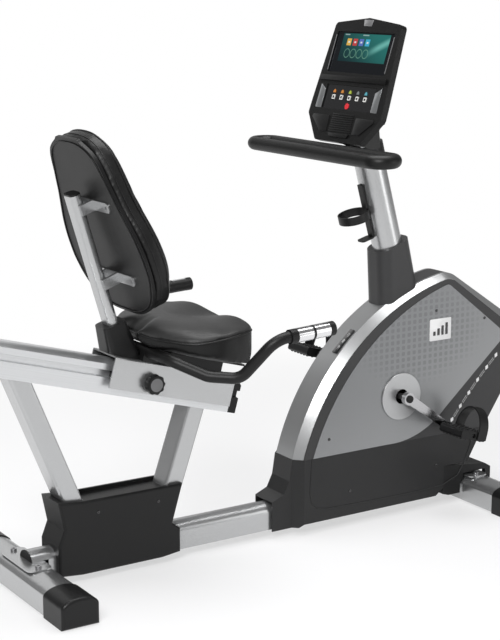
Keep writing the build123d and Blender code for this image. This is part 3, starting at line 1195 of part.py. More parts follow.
def key_rooms(depth):
    """Holes that the keys stand in, from a depth below the face up."""
    rooms = None
    for u, v in key_places():
        hole = extrude(CONSOLE_PLANE.offset(depth) * (Pos(u, v + 6) * Rectangle(KEY_SIZE + 2 * KEY_ROOM,
                                                                              KEY_SIZE + 2 * KEY_ROOM)), amount=40)
        rooms = hole if rooms is None else rooms + hole
    return rooms + extrude(CONSOLE_PLANE.offset(depth) * (Pos(*STOP_PLACE) * Circle(STOP_RADIUS + KEY_ROOM)), amount=40)


KEY_TOP, KEY_LONG = -1.5, 8.0


def key(index):
    """One square push key."""
    u, v = key_places()[index]
    face = Pos(u, v + 6) * RectangleRounded(KEY_SIZE, KEY_SIZE, 1.5)
    return extrude(CONSOLE_PLANE.offset(KEY_TOP) * face, amount=-KEY_LONG)


def stop_key():
    face = Pos(*STOP_PLACE) * Circle(STOP_RADIUS)
    return extrude(CONSOLE_PLANE.offset(KEY_TOP) * face, amount=-KEY_LONG)


# ---------------------------------------------------------------- write every node
NODES = {
    "base_tube": lambda: base_tube() + saddle_plate(REAR_STABILISER_X) + saddle_plate(FRONT_STABILISER_X),
    "stabilisers": lambda: (stabiliser(REAR_STABILISER_X) - bolt_holes(REAR_STABILISER_X) +
                            stabiliser(FRONT_STABILISER_X) - bolt_holes(FRONT_STABILISER_X)),
    "stabiliser_caps": lambda: (end_cap(REAR_STABILISER_X, 1) + end_cap(REAR_STABILISER_X, -1) +
                                front_end_cap(1) + front_end_cap(-1)),
    "end_plugs": lambda: tube_plugs() + rail_end_caps(),
    "frame_fasteners": lambda: saddle_bolts() + wheel_axles() + rail_stop_bolt(),
    "transport_wheel_left": lambda: transport_wheel(1),
    "transport_wheel_right": lambda: transport_wheel(-1),
    "seat_legs": lambda: leg(REAR_LEG_X, REAR_LEG_LEAN) + leg(FRONT_LEG_X, FRONT_LEG_LEAN),
    "pedestal_cover_left": lambda: pedestal_cover(1),
    "pedestal_cover_right": lambda: pedestal_cover(-1),
    "seat_rail": seat_rail,
    "seat_carriage": seat_carriage,
    "glide_blocks": glide_blocks,
    "seat_knob": seat_knob,
    "seat_frame": seat_frame,
    "handle_tubes": handle_tubes,
    "handle_grips": handle_grips,
    "pulse_sensors": pulse_sensors,
    "seat_cushion": seat_cushion,
    "backrest_post": backrest_post,
    "post_boot": lambda: post_boot() + post_end_cap(),
    "backrest_cushion": backrest_cushion,
    "backrest_board": backrest_board,
    "backrest_brackets": backrest_brackets,
    "lower_frame": lower_frame,
    "console_mast": console_mast,
    "mast_collar": mast_collar,
    "housing_shell_left": lambda: housing_shell(1),
    "housing_shell_right": lambda: housing_shell(-1),
    "side_panels": lambda: side_panel(1) + side_panel(-1),
    "bright_trim": lambda: trim_strip(1) + trim_strip(-1) + spine_band(),
    "top_cover": top_cover,
    "lower_cover_left": lambda: lower_cover(1),
    "lower_cover_right": lambda: lower_cover(-1),
    "front_base_cover": front_base_cover,
    "crank_discs": lambda: crank_disc(1) + crank_disc(-1),
    "crank_bearings": crank_bearings,
    "crank_axle": lambda: crank_axle() + pedal_spindle(True) + pedal_spindle(False),
    "crank_arms": lambda: crank_arm(True) + crank_arm(False),
    "drive_pulley": drive_pulley,
    "pedal_left": lambda: pedal(False),
    "pedal_right": lambda: pedal(True),
    "strap_left": lambda: pedal_strap(False),
    "strap_right": lambda: pedal_strap(True),
    "flywheel": flywheel,
    "drive_belt": drive_belt,
    "brake_magnet": brake_magnet,
    "bottle_cage": bottle_cage,
    "handlebar": handlebar,
    "mast_brackets": lambda: handlebar_clamp() + console_bracket(),
    "console_back": console_back,
    "console_bezel": console_bezel,
    "screen": screen,
    "keypad": keypad,
    "stop_key": stop_key,
} | {f"key_{index + 1}": lambda index=index: key(index) for index in range(5)}

for node, make in NODES.items():
    write(node, make())
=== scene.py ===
# %% [markdown]
# # A recumbent exercise bike
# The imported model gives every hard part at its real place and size. This notebook adds what a maker
# sees and touches: finishes for each part, upholstery, labels, screws and the console's face.

# %% Load the frame
import json
import math

import bmesh
import bpy
from mathutils import Matrix, Vector
from mathutils.bvhtree import BVHTree


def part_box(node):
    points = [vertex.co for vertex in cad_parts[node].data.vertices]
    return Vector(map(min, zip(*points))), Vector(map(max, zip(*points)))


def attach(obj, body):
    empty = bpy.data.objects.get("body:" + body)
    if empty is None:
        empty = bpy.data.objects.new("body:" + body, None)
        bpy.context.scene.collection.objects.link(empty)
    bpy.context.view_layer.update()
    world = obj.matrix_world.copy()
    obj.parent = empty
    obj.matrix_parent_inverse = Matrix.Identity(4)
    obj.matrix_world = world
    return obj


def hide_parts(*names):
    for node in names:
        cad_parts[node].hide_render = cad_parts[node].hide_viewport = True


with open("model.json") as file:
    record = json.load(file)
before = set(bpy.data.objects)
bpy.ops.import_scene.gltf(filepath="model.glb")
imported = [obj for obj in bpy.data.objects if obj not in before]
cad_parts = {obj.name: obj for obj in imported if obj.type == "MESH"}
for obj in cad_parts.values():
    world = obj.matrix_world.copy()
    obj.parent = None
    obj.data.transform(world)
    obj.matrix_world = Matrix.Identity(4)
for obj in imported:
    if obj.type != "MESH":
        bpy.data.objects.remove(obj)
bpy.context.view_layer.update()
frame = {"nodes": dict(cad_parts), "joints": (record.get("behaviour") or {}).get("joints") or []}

nodes = frame["nodes"]

# %% [markdown]
# ## The camera
# A long lens from behind the rider's right shoulder height flattens the perspective, so that the rail,
# the housing and the console stay in proportion.

# %% Camera
CAMERA_YAW, CAMERA_PITCH, CAMERA_LENS = 32.7, 12.2, 90.0
CAMERA_PLACE = Vector((-2.202, -3.366, 1.452))

camera_data = bpy.data.cameras.new("view")
camera_data.lens = CAMERA_LENS
camera = bpy.data.objects.new("view", camera_data)
camera.location = CAMERA_PLACE
camera.rotation_euler = (math.radians(90 - CAMERA_PITCH), 0, math.radians(-CAMERA_YAW))
bpy.context.scene.collection.objects.link(camera)
bpy.context.scene.camera = camera

# %% [markdown]
# ## Shader sums as Python
# A finish is easier to read as arithmetic. `Flow` wraps one output socket and turns +, -, *, / and powers
# into Math nodes. `Finish` holds the node tree of one material, or of the world, and makes every node.

# %% Shader helpers
class Flow:
    """One output socket of a finish; sums on it add Math nodes."""

    def __init__(self, finish, socket):
        self.finish = finish
        self.socket = socket

    def math(self, operation, *values):
        return self.finish.node("ShaderNodeMath", {"operation": operation}, values)

    def __add__(self, other):
        return self.math("ADD", self, other)

    def __sub__(self, other):
        return self.math("SUBTRACT", self, other)

    def __rsub__(self, other):
        return self.math("SUBTRACT", other, self)

    def __mul__(self, other):
        return self.math("MULTIPLY", self, other)

    def __truediv__(self, other):
        return self.math("DIVIDE", self, other)

    def __pow__(self, other):
        return self.math("POWER", self, other)

    def __abs__(self):
        return self.math("ABSOLUTE", self)

    def most(self, other):
        return self.math("MAXIMUM", self, other)

    def wave(self):
        return self.math("SINE", self)

    def fold(self, width):
        """Distance to the nearest whole multiple of width."""
        return self.math("PINGPONG", self, width / 2)

    def ramp(self, low, high):
        """0 at low, 1 at high, smooth between."""
        return self.finish.node("ShaderNodeMapRange", {"interpolation_type": "SMOOTHSTEP"},
                                {"Value": self, "From Min": low, "From Max": high})

    __radd__ = __add__
    __rmul__ = __mul__


class Finish:
    """The node tree of a new material, or of the owner that is given."""

    def __init__(self, name, owner=None):
        self.material = owner or bpy.data.materials.new(name)
        self.material.use_nodes = True
        self.tree = self.material.node_tree
        self.tree.nodes.clear()

    def node(self, kind, settings=None, inputs=(), output=0):
        made = self.tree.nodes.new(kind)
        for key, value in (settings or {}).items():
            if key == "stops":
                ramp = made.color_ramp
                while len(ramp.elements) < len(value):
                    ramp.elements.new(0.5)
                for element, (position, colour) in zip(ramp.elements, value):
                    element.position = position
                    element.color = colour
            else:
                setattr(made, key, value)
        pairs = inputs.items() if isinstance(inputs, dict) else enumerate(inputs)
        for key, value in pairs:
            if isinstance(value, Flow):
                self.tree.links.new(value.socket, made.inputs[key])
            else:
                made.inputs[key].default_value = value
        return Flow(self, made.outputs[output]) if made.outputs else made

    def place(self, turn=(0, 0, 0), stretch=(1, 1, 1)):
        """Object coordinates, turned and then stretched."""
        where = self.node("ShaderNodeTexCoord", output="Object")
        turned = self.node("ShaderNodeMapping", {}, {"Vector": where, "Rotation": turn})
        return self.node("ShaderNodeMapping", {}, {"Vector": turned, "Scale": stretch})

    def xyz(self):
        """The three Object coordinates."""
        split = self.node("ShaderNodeSeparateXYZ", {}, [self.place()])
        return [Flow(self, output) for output in split.socket.node.outputs]

    def noise(self, scale, detail=3.0, vector=None):
        return self.node("ShaderNodeTexNoise", {}, {"Vector": vector or self.place(), "Scale": scale,
                                                    "Detail": detail, "Roughness": 0.5})

    def cells(self, scale):
        return self.node("ShaderNodeTexVoronoi", {}, {"Vector": self.place(), "Scale": scale})

    def blend(self, factor, first, second):
        return self.node("ShaderNodeMix", {"data_type": "RGBA"}, {0: factor, 6: first, 7: second}, 2)

    def bump(self, height, distance):
        return self.node("ShaderNodeBump", {}, {"Height": height, "Distance": distance, "Strength": 1.0})

    def surface(self, sockets):
        shader = self.node("ShaderNodeBsdfPrincipled", {}, sockets)
        self.node("ShaderNodeOutputMaterial", {}, {"Surface": shader})
        return self.material


def grey(value):
    return (value, value, value, 1)


# %% [markdown]
# ## Painted steel, aluminium and chrome
# The tubes are sprayed with silver paint: fine metal flakes under a thin clear coat, with the slight
# orange peel that spraying leaves. The seat rail is extruded aluminium, so its streaks run along it.

# %% Metal finishes
def silver_paint(name, colour=(0.50, 0.505, 0.51, 1), rough=0.27):
    finish = Finish(name)
    flakes = finish.noise(2200, 1)
    drift = finish.noise(4, 2)
    shade = (flakes - 0.5) * 0.12 + (drift - 0.5) * 0.08 + 0.5
    tint = finish.blend(shade, tuple(c * 0.82 for c in colour[:3]) + (1,),
                        tuple(min(1, c * 1.16) for c in colour[:3]) + (1,))
    peel = finish.bump(finish.noise(260, 2), 0.00006)
    return finish.surface({"Base Color": tint, "Metallic": 0.85, "Roughness": (flakes - 0.5) * 0.1 + rough,
                           "Coat Weight": 0.35, "Coat Roughness": 0.12, "Normal": peel})


def drawn_aluminium(name, turn):
    finish = Finish(name)
    streaks = finish.noise(1, 4, finish.place(turn, (3, 900, 900)))
    tint = finish.blend(streaks, (0.60, 0.61, 0.62, 1), (0.78, 0.79, 0.80, 1))
    return finish.surface({"Base Color": tint, "Metallic": 0.85, "Roughness": streaks * 0.12 + 0.26,
                           "Normal": finish.bump(streaks, 0.00004)})


def polished(name, colour=(0.82, 0.82, 0.83, 1)):
    finish = Finish(name)
    haze = finish.noise(60, 3)
    return finish.surface({"Base Color": colour, "Metallic": 1.0, "Roughness": haze * 0.06 + 0.12})


def turned_steel(name, colour=(0.42, 0.42, 0.43, 1)):
    finish = Finish(name)
    lines = finish.noise(700, 2)
    return finish.surface({"Base Color": colour, "Metallic": 0.95, "Roughness": lines * 0.16 + 0.24,
                           "Normal": finish.bump(lines, 0.00003)})


RAIL_SLOPE = math.radians(15.7)
frame_paint = silver_paint("frame_paint")
bright_paint = silver_paint("housing_trim_paint", (0.46, 0.465, 0.47, 1), 0.33)
rail_metal = drawn_aluminium("rail_aluminium", (0, -RAIL_SLOPE, 0))
chrome = polished("chrome")
crank_chrome = polished("crank_chrome", (0.50, 0.50, 0.51, 1))
bolt_steel = turned_steel("bolt_steel")
cast_iron = turned_steel("flywheel_iron", (0.12, 0.12, 0.125, 1))

# %% [markdown]
# ## Plastics, foam and rubber
# Moulded covers carry a spark-eroded grain: tiny cells, never a mirror. The grips and the hand loop are
# dipped foam, smoother and with a soft sheen. Gloss is kept for the keypad and the glass.

# %% Plastic finishes
def moulded(name, level, rough=0.46, grain=0.00007, scale=1500, tint=(1.0, 1.0, 1.02)):
    finish = Finish(name)
    cells = finish.cells(scale)
    cloud = finish.noise(9, 3)
    dark = tuple(level * 0.85 * t for t in tint) + (1,)
    light = tuple(level * 1.18 * t for t in tint) + (1,)
    return finish.surface({"Base Color": finish.blend(cloud, dark, light),
                           "Roughness": (cloud - 0.5) * 0.1 + rough, "Specular IOR Level": 0.28,
                           "Normal": finish.bump(cells, grain)})


def foam_skin(name, level=0.016):
    finish = Finish(name)
    pores = finish.cells(900)
    cloud = finish.noise(22, 4)
    return finish.surface({"Base Color": finish.blend(cloud, grey(level * 0.8), grey(level * 1.5)),
                           "Roughness": cloud * 0.12 + 0.36, "Specular IOR Level": 0.3,
                           "Normal": finish.bump(pores, 0.0001)})


def gloss_plastic(name, colour, rough=0.12):
    finish = Finish(name)
    haze = finish.noise(30, 2)
    return finish.surface({"Base Color": colour, "Roughness": haze * 0.06 + rough, "Coat Weight": 0.6})


cover_plastic = moulded("cover_plastic", 0.020, 0.38)
rim_plastic = moulded("rim_plastic", 0.042, 0.38)
base_plastic = moulded("pedestal_plastic", 0.009, 0.40)
cap_plastic = moulded("cap_plastic", 0.009, 0.34)
black_plastic = moulded("black_plastic", 0.008, 0.40)
console_plastic = moulded("console_plastic", 0.0035, 0.40, 0.0001, 1100)
tread_plastic = moulded("pedal_plastic", 0.006, 0.42)
board_plastic = moulded("board_plastic", 0.0045, 0.44, 0.0001, 800)
dark_paint = moulded("black_steel_paint", 0.008, 0.32, 0.00003)
grip_foam = foam_skin("grip_foam", 0.006)
loop_foam = foam_skin("loop_foam", 0.004)
strap_rubber = foam_skin("strap_rubber", 0.006)
wheel_rubber = foam_skin("wheel_rubber", 0.018)
key_gloss = gloss_plastic("keypad_gloss", (0.004, 0.004, 0.005, 1), 0.06)
stop_red = gloss_plastic("stop_red", (0.62, 0.02, 0.03, 1), 0.2)

# %% [markdown]
# ## The side panels
# Each panel is sprayed silver-grey, then printed with a field of small soft-cornered squares that fades
# out before it meets the rim. The print is a repeat on the panel's own X and Z, so it is a sum of folds.

# %% Panel finish
PRINT_PITCH_X, PRINT_PITCH_Z, PRINT_HALF = 0.0185, 0.0168, 0.0054
PRINT_MIDDLE, PRINT_REACH = (0.465, 0.500), (0.22, 0.135)


def printed_panel():
    finish = Finish("panel_print")
    x, _, z = finish.xyz()
    across = x.fold(PRINT_PITCH_X)
    upward = (z + 0.0004).fold(PRINT_PITCH_Z)
    square = 1 - (across ** 4 + upward ** 4).ramp(PRINT_HALF ** 4 * 0.5, PRINT_HALF ** 4 * 1.6)
    away = (((x - PRINT_MIDDLE[0]) / PRINT_REACH[0]) ** 2) + (((z - PRINT_MIDDLE[1]) / PRINT_REACH[1]) ** 2)
    mask = square * (1 - away.ramp(0.25, 1.25)) * 0.42
    flakes = finish.noise(2400, 1)
    # Painted shade: the silver-grey paint darkens smoothly towards the top and the rear of the panel.
    sweep = (z - x * 0.55).ramp(-0.35, 0.45)
    shaded_paint = finish.blend(sweep, (0.33, 0.335, 0.34, 1), (0.17, 0.175, 0.18, 1))
    speck = finish.blend((flakes - 0.5) * 0.3 + 0.06, shaded_paint, (0.55, 0.56, 0.57, 1))
    tint = finish.blend(mask, speck, (0.10, 0.105, 0.11, 1))
    return finish.surface({"Base Color": tint, "Metallic": 0.45, "Roughness": flakes * 0.08 + 0.32,
                           "Coat Weight": 0.25, "Coat Roughness": 0.15})


panel_print = printed_panel()

# %% [markdown]
# ## Vinyl
# The cushions are covered in grained vinyl. Its leather look is two sizes of rounded cells, and the
# hollows between them are a little rougher than the worn tops.

# %% Vinyl finish
def vinyl(name, level, rough=0.40):
    finish = Finish(name)
    pebble = finish.cells(520)
    wide = finish.noise(14, 4)
    height = pebble * 0.7 + finish.noise(900, 2) * 0.3
    return finish.surface({"Base Color": finish.blend(wide, grey(level * 0.8), grey(level * 1.35)),
                           "Roughness": (pebble - 0.4) * 0.14 + rough + (wide - 0.5) * 0.08,
                           "Specular IOR Level": 0.32,
                           "Normal": finish.bump(height, 0.00018)})


# The seat's top and its walls take lit and shaded copies of one vinyl: painted light on the lighter top,
# painted shade on the darker walls.
seat_top_lit_vinyl = vinyl("seat_top_lit_vinyl", 0.024, 0.44)
seat_wall_shaded_vinyl = vinyl("seat_wall_shaded_vinyl", 0.005, 0.42)
back_vinyl = vinyl("back_vinyl", 0.005, 0.42)
welt_vinyl = vinyl("welt_vinyl", 0.008, 0.36)
print("finishes:", len(bpy.data.materials))

# %% [markdown]
# ## The display
# A touch screen is a dark pane with a lit picture behind it: a teal sweep, four plain coloured tiles and
# four rings. The picture is worked out on the console's own two directions, u to the right and v up.

# %% Console directions
CONSOLE_TILT = math.radians(18.2)
CONSOLE_HEIGHT = 0.331
bezel_low, bezel_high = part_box("console_bezel")
console_origin = Vector((bezel_low.x, 0, bezel_high.z - CONSOLE_HEIGHT * math.cos(CONSOLE_TILT)))
across_console = Vector((0, -1, 0))
up_console = Vector((math.sin(CONSOLE_TILT), 0, math.cos(CONSOLE_TILT)))
out_console = across_console.cross(up_console)
on_console = Matrix.Translation(console_origin) @ Matrix(
    (across_console, up_console, out_console)).transposed().to_4x4()
print("console leans", round(math.degrees(CONSOLE_TILT), 1), "degrees from",
      tuple(round(v, 3) for v in console_origin))


# %% Display finish
def box_mask(u, v, middle, half, soft=0.0006):
    inside = (abs(u - middle[0]) - half[0]).most(abs(v - middle[1]) - half[1])
    return 1 - inside.ramp(-soft, soft)


def ring_mask(u, v, middle, radius, line=0.0009):
    far = ((u - middle[0]) ** 2 + (v - middle[1]) ** 2) ** 0.5
    return 1 - abs(far - radius).ramp(line * 0.5, line * 1.5)


def console_uv(finish):
    x, y, z = finish.xyz()
    u = y * -1
    v = (x - console_origin.x) * math.sin(CONSOLE_TILT) + (z - console_origin.z) * math.cos(CONSOLE_TILT)
    return u, v


TILE_COLOURS = ((0.75, 0.45, 0.08, 1), (0.55, 0.05, 0.05, 1), (0.10, 0.16, 0.50, 1), (0.05, 0.42, 0.62, 1))
TILE_V, TILE_HALF, TILE_PITCH, TILE_START = 0.266, 0.0092, 0.0265, -0.066
TILE_SIGN_HALF = (0.0038, 0.0022)
RING_V, RING_RADIUS = 0.236, 0.0115


def lit_display():
    finish = Finish("display")
    u, v = console_uv(finish)
    sweep = (v * 1.4 + u * 0.8 + (u * 24).wave() * 0.012).ramp(0.20, 0.50)
    glow = finish.blend(sweep, (0.0, 0.018, 0.022, 1), (0.015, 0.17, 0.15, 1))
    streak = 1 - abs(v - 0.236 - (u - 0.02) * 0.42).ramp(0.0, 0.016)
    glow = finish.blend(streak * (u.ramp(0.01, 0.07)) * 0.55, glow, (0.25, 0.70, 0.62, 1))
    for index, colour in enumerate(TILE_COLOURS):
        middle = TILE_START + index * TILE_PITCH
        glow = finish.blend(box_mask(u, v, (middle, TILE_V), (TILE_HALF, TILE_HALF)), glow, colour)
        sign = box_mask(u, v, (middle, TILE_V), TILE_SIGN_HALF)
        glow = finish.blend(sign * 0.9, glow, (0.8, 0.85, 0.85, 1))
        ring = ring_mask(u, v, (middle + 0.002, RING_V), RING_RADIUS)
        glow = finish.blend(ring * 0.7, glow, (0.18, 0.42, 0.30, 1))
    bar = box_mask(u, v, (-0.080, 0.2855), (0.010, 0.0014)) + box_mask(u, v, (0.0, 0.2855), (0.013, 0.0014))
    glow = finish.blend(bar * 0.5, glow, (0.6, 0.75, 0.75, 1))
    picture = box_mask(u, v, (0.004, 0.2515), (0.100, 0.0375))
    glow = finish.blend(picture, (0.002, 0.002, 0.003, 1), glow)
    return finish.surface({"Base Color": (0.004, 0.005, 0.006, 1), "Roughness": 0.16, "Emission Color": glow,
                           "Emission Strength": 0.9, "Specular IOR Level": 0.18})


display = lit_display()

# %% [markdown]
# ## Finishes on the hard parts
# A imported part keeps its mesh, and takes its look through its material slots.

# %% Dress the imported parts
DRESS = {
    frame_paint: ["base_tube", "stabilisers", "seat_legs", "seat_carriage", "backrest_post",
                  "backrest_brackets", "console_mast"],
    rail_metal: ["seat_rail"],
    bright_paint: ["bright_trim", "crank_discs"],
    panel_print: ["side_panels"],
    rim_plastic: ["housing_shell_left", "housing_shell_right", "mast_collar", "top_cover"],
    cover_plastic: ["lower_cover_left", "lower_cover_right"],
    base_plastic: ["pedestal_cover_left", "pedestal_cover_right", "front_base_cover"],
    cap_plastic: ["stabiliser_caps", "post_boot"],
    black_plastic: ["end_plugs", "glide_blocks", "seat_knob", "handle_grips", "drive_pulley", "bottle_cage"],
    board_plastic: ["backrest_board"],
    console_plastic: ["console_back", "console_bezel"],
    tread_plastic: ["pedal_left", "pedal_right"],
    dark_paint: ["seat_frame", "lower_frame", "brake_magnet", "mast_brackets"],
    grip_foam: ["handle_tubes"],
    loop_foam: ["handlebar"],
    strap_rubber: ["strap_left", "strap_right", "drive_belt"],
    wheel_rubber: ["transport_wheel_left", "transport_wheel_right"],
    chrome: ["pulse_sensors"],
    crank_chrome: ["crank_arms"],
    bolt_steel: ["frame_fasteners", "crank_bearings", "crank_axle"],
    cast_iron: ["flywheel"],
    key_gloss: ["keypad"],
    display: ["screen"],
    stop_red: ["stop_key"],
}
for finish, names in DRESS.items():
    for name in names:
        mesh = nodes[name].data
        mesh.materials.clear()
        mesh.materials.append(finish)
dressed = {name for names in DRESS.values() for name in names}
print("dressed:", len(dressed), "left:", sorted(set(nodes) - dressed))

# %% [markdown]
# ## Making pieces
# Most small pieces start as a bmesh, are placed in the bike's own frame and keep their object at the
# origin. `piece` closes that routine: it welds, turns the faces outwards, smooths what is round and
# rides the body it is fixed to.

# %% Piece helpers
def piece(name, mesh_in, finish, body, place=None, smooth=40):
    """Makes an object of a bmesh and fixes it to a body."""
    if place is not None:
        bmesh.ops.transform(mesh_in, matrix=place, verts=mesh_in.verts)
    bmesh.ops.remove_doubles(mesh_in, verts=mesh_in.verts, dist=1e-6)
    bmesh.ops.recalc_face_normals(mesh_in, faces=mesh_in.faces)
    mesh = bpy.data.meshes.new(name)
    mesh_in.to_mesh(mesh)
    mesh_in.free()
    made = bpy.data.objects.new(name, mesh)
    bpy.context.scene.collection.objects.link(made)
    mesh.materials.append(finish)
    mesh.shade_smooth()
    mesh.set_sharp_from_angle(angle=math.radians(smooth))
    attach(made, body)
    return made


def thicken(made, faces, thick, rim):
    """Raises flat faces into a plate and eases its upper edge."""
    grown = bmesh.ops.extrude_face_region(made, geom=faces)
    top = [v for v in grown["geom"] if isinstance(v, bmesh.types.BMVert)]
    bmesh.ops.translate(made, verts=top, vec=(0, 0, thick))
    edges = [e for e in made.edges if all(v in top for v in e.verts)]
    if rim:
        bmesh.ops.bevel(made, geom=edges, offset=rim, segments=2, profile=0.5, affect="EDGES",
                        material=-1)
    return made


def slab(outline, thick, rim=0.0006):
    """A flat plate of an outline in the XY plane, from z = 0 up, with its upper edge eased."""
    made = bmesh.new()
    face = made.faces.new([made.verts.new((x, y, 0)) for x, y in outline])
    return thicken(made, [face], thick, rim)


def rounded(width, height, corner, steps=5):
    """Corner points of a rounded rectangle about the origin."""
    points = []
    for middle_x, middle_y, start in ((1, 1, 0), (-1, 1, 90), (-1, -1, 180), (1, -1, 270)):
        for step in range(steps + 1):
            angle = math.radians(start + 90 * step / steps)
            points.append((middle_x * (width / 2 - corner) + corner * math.cos(angle),
                           middle_y * (height / 2 - corner) + corner * math.sin(angle)))
    return points


def button(radius, thick, rim=0.0006, sides=24):
    """A round disc with an eased edge."""
    made = bmesh.new()
    bmesh.ops.create_circle(made, cap_ends=True, radius=radius, segments=sides)
    return thicken(made, made.faces[:], thick, rim)


def join(into, other, place=None):
    """Adds one bmesh to another."""
    if place is not None:
        bmesh.ops.transform(other, matrix=place, verts=other.verts)
    spare = bpy.data.meshes.new("spare")
    other.to_mesh(spare)
    other.free()
    into.from_mesh(spare)
    bpy.data.meshes.remove(spare)
    return into


def at(u, v, out=0.0):
    return Matrix.Translation((u, v, out))


def surface_tree(mesh):
    """A search tree over a mesh's faces."""
    return BVHTree.FromPolygons([v.co for v in mesh.vertices], [p.vertices for p in mesh.polygons])


def cord_tube(name, points, radius, finish, body, closed=True):
    """A round welt or wire through points, as a mesh."""
    curve = bpy.data.curves.new(name, "CURVE")
    curve.dimensions = "3D"
    curve.bevel_depth = radius
    curve.bevel_resolution = 3
    spline = curve.splines.new("POLY")
    spline.points.add(len(points) - 1)
    for knot, point in zip(spline.points, points):
        knot.co = (*point, 1)
    spline.use_cyclic_u = closed
    curve.use_fill_caps = not closed
    shape = bpy.data.objects.new(name, curve)
    bpy.context.scene.collection.objects.link(shape)
    bpy.context.view_layer.update()
    mesh = bpy.data.meshes.new_from_object(shape)
    bpy.data.objects.remove(shape)
    made = bmesh.new()
    made.from_mesh(mesh)
    bpy.data.meshes.remove(mesh)
    return piece(name, made, finish, body, smooth=60)


# %% [markdown]
# ## Upholstery
# A cushion is a foam core pulled tight by its cover, so it is built as a shape, swollen a little by a
# cloth simulation with air inside it, and then gets its welts. Both cushions start from one grid that is
# pushed out to a round outline: `outline` gives the edge point for a direction.

# %% Cushion helpers
def smooth_loop(points, count):
    """Points along a smooth closed curve through the given points."""
    loop = []
    total = len(points)
    for index in range(count):
        place = index * total / count
        base = int(place)
        t = place - base
        p0, p1, p2, p3 = (Vector(points[(base + k) % total]) for k in (-1, 0, 1, 2))
        loop.append(0.5 * ((2 * p1) + (p2 - p0) * t + (2 * p0 - 5 * p1 + 4 * p2 - p3) * t * t +
                           (3 * p1 - p0 - 3 * p2 + p3) * t * t * t))
    return loop


def edge_finder(points, middle):
    """Returns a function that gives the outline's point in a direction from the middle."""
    loop = [p - Vector(middle) for p in smooth_loop(points, 360)]
    angles = [math.atan2(p.y, p.x) for p in loop]

    def find(angle):
        best = min(range(len(loop)), key=lambda i: abs(math.remainder(angles[i] - angle, math.tau)))
        return loop[best]
    return find


def pad_shape(points, middle, top, bottom, cells=36):
    """A closed pad: a grid stretched to the outline for the top, walls, and a bottom."""
    find = edge_finder(points, middle)
    made = bmesh.new()
    bmesh.ops.create_grid(made, x_segments=cells, y_segments=cells, size=1.0)
    for v in made.verts:
        a, b = v.co.x, v.co.y
        reach = max(abs(a), abs(b))
        edge = find(math.atan2(b, a)) * reach
        x, y = middle[0] + edge.x, middle[1] + edge.y
        v.co = Vector((x, y, top(x, y, reach)))
    rim = [e for e in made.edges if e.is_boundary]
    grown = bmesh.ops.extrude_edge_only(made, edges=rim)
    low = [g for g in grown["geom"] if isinstance(g, bmesh.types.BMVert)]
    for v in low:
        v.co.z = bottom(v.co.x, v.co.y)
    loops = [e for e in made.edges if e.is_boundary]
    bmesh.ops.holes_fill(made, edges=loops, sides=0)
    bmesh.ops.triangulate(made, faces=[f for f in made.faces if len(f.verts) > 4])
    return made


def puff(made, voxel, pressure, cap):
    """Voxel remesh, a short cloth simulation with air inside, and one subdivision."""
    bpy.context.view_layer.objects.active = made
    remesh = made.modifiers.new("remesh", "REMESH")
    remesh.mode = "VOXEL"
    remesh.voxel_size = voxel
    flatten(made)
    start = [v.co.copy() for v in made.data.vertices]
    cloth = made.modifiers.new("cloth", "CLOTH")
    cloth.settings.quality = 6
    cloth.settings.mass = 0.4
    cloth.settings.tension_stiffness = 40
    cloth.settings.compression_stiffness = 40
    cloth.settings.bending_stiffness = 4
    cloth.settings.use_pressure = True
    cloth.settings.uniform_pressure_force = pressure
    cloth.settings.effector_weights.gravity = 0
    scene = bpy.context.scene
    for step in range(1, 21):
        scene.frame_set(step)
    flatten(made)
    scene.frame_set(1)
    for v, old in zip(made.data.vertices, start):
        move = v.co - old
        if move.length > cap:
            v.co = old + move.normalized() * cap
    even = made.modifiers.new("even", "SMOOTH")
    even.factor, even.iterations = 0.5, 12
    smooth = made.modifiers.new("subdivide", "SUBSURF")
    smooth.levels = smooth.render_levels = 1
    flatten(made)
    made.data.shade_smooth()
    print(made.name, "faces:", len(made.data.polygons))


def flatten(made):
    """Applies a piece's modifiers."""
    depsgraph = bpy.context.evaluated_depsgraph_get()
    finished = bpy.data.meshes.new_from_object(made.evaluated_get(depsgraph))
    materials = [slot.material for slot in made.material_slots]
    made.modifiers.clear()
    made.data = finished
    finished.materials.clear()
    for material in materials:
        finished.materials.append(material)


# %% [markdown]
# ### The seat
# The seat's plan is a rounded shield with a notch for the post's boot. Its back third is raised, the
# middle dips, and two low lips carry the thighs. The underside follows the slope of the rail.

# %% Seat cushion
SEAT_REAR, SEAT_FRONT, SEAT_HALF = -0.407, -0.114, 0.213
SEAT_SHARES = [(0.088, 0.0), (0.088, 0.17), (0.0, 0.26), (0.03, 0.38), (0.10, 0.53), (0.23, 0.80),
               (0.36, 0.94), (0.53, 1.0), (0.70, 0.967), (0.84, 0.87), (0.945, 0.66), (0.986, 0.38),
               (1.0, 0.0)]
SEAT_MIDDLE = (-0.26, 0.0)
RAIL_FOOT_X, RAIL_FOOT_Z = -0.135, 0.366
SEAT_CLEAR = 0.1436
SEAT_NOSE_X, SEAT_NOSE_DEPTH = -0.190, 0.046
WELT_REACH = 1.06                              # a welt is sought from just outside the pad
half_plan = [(SEAT_REAR + a * (SEAT_FRONT - SEAT_REAR), b * SEAT_HALF) for a, b in SEAT_SHARES]
seat_plan = half_plan + [(x, -y) for x, y in half_plan[-2:0:-1]]
SEAT_CREST = [(-0.407, 0.618), (-0.370, 0.626), (-0.330, 0.627), (-0.280, 0.624), (-0.220, 0.620),
              (-0.160, 0.620), (-0.130, 0.616), (-0.114, 0.606)]
SEAT_EDGE = [(-0.407, 0.612), (-0.376, 0.602), (-0.339, 0.597), (-0.300, 0.599), (-0.250, 0.606),
             (-0.200, 0.611), (-0.150, 0.611), (-0.114, 0.602)]


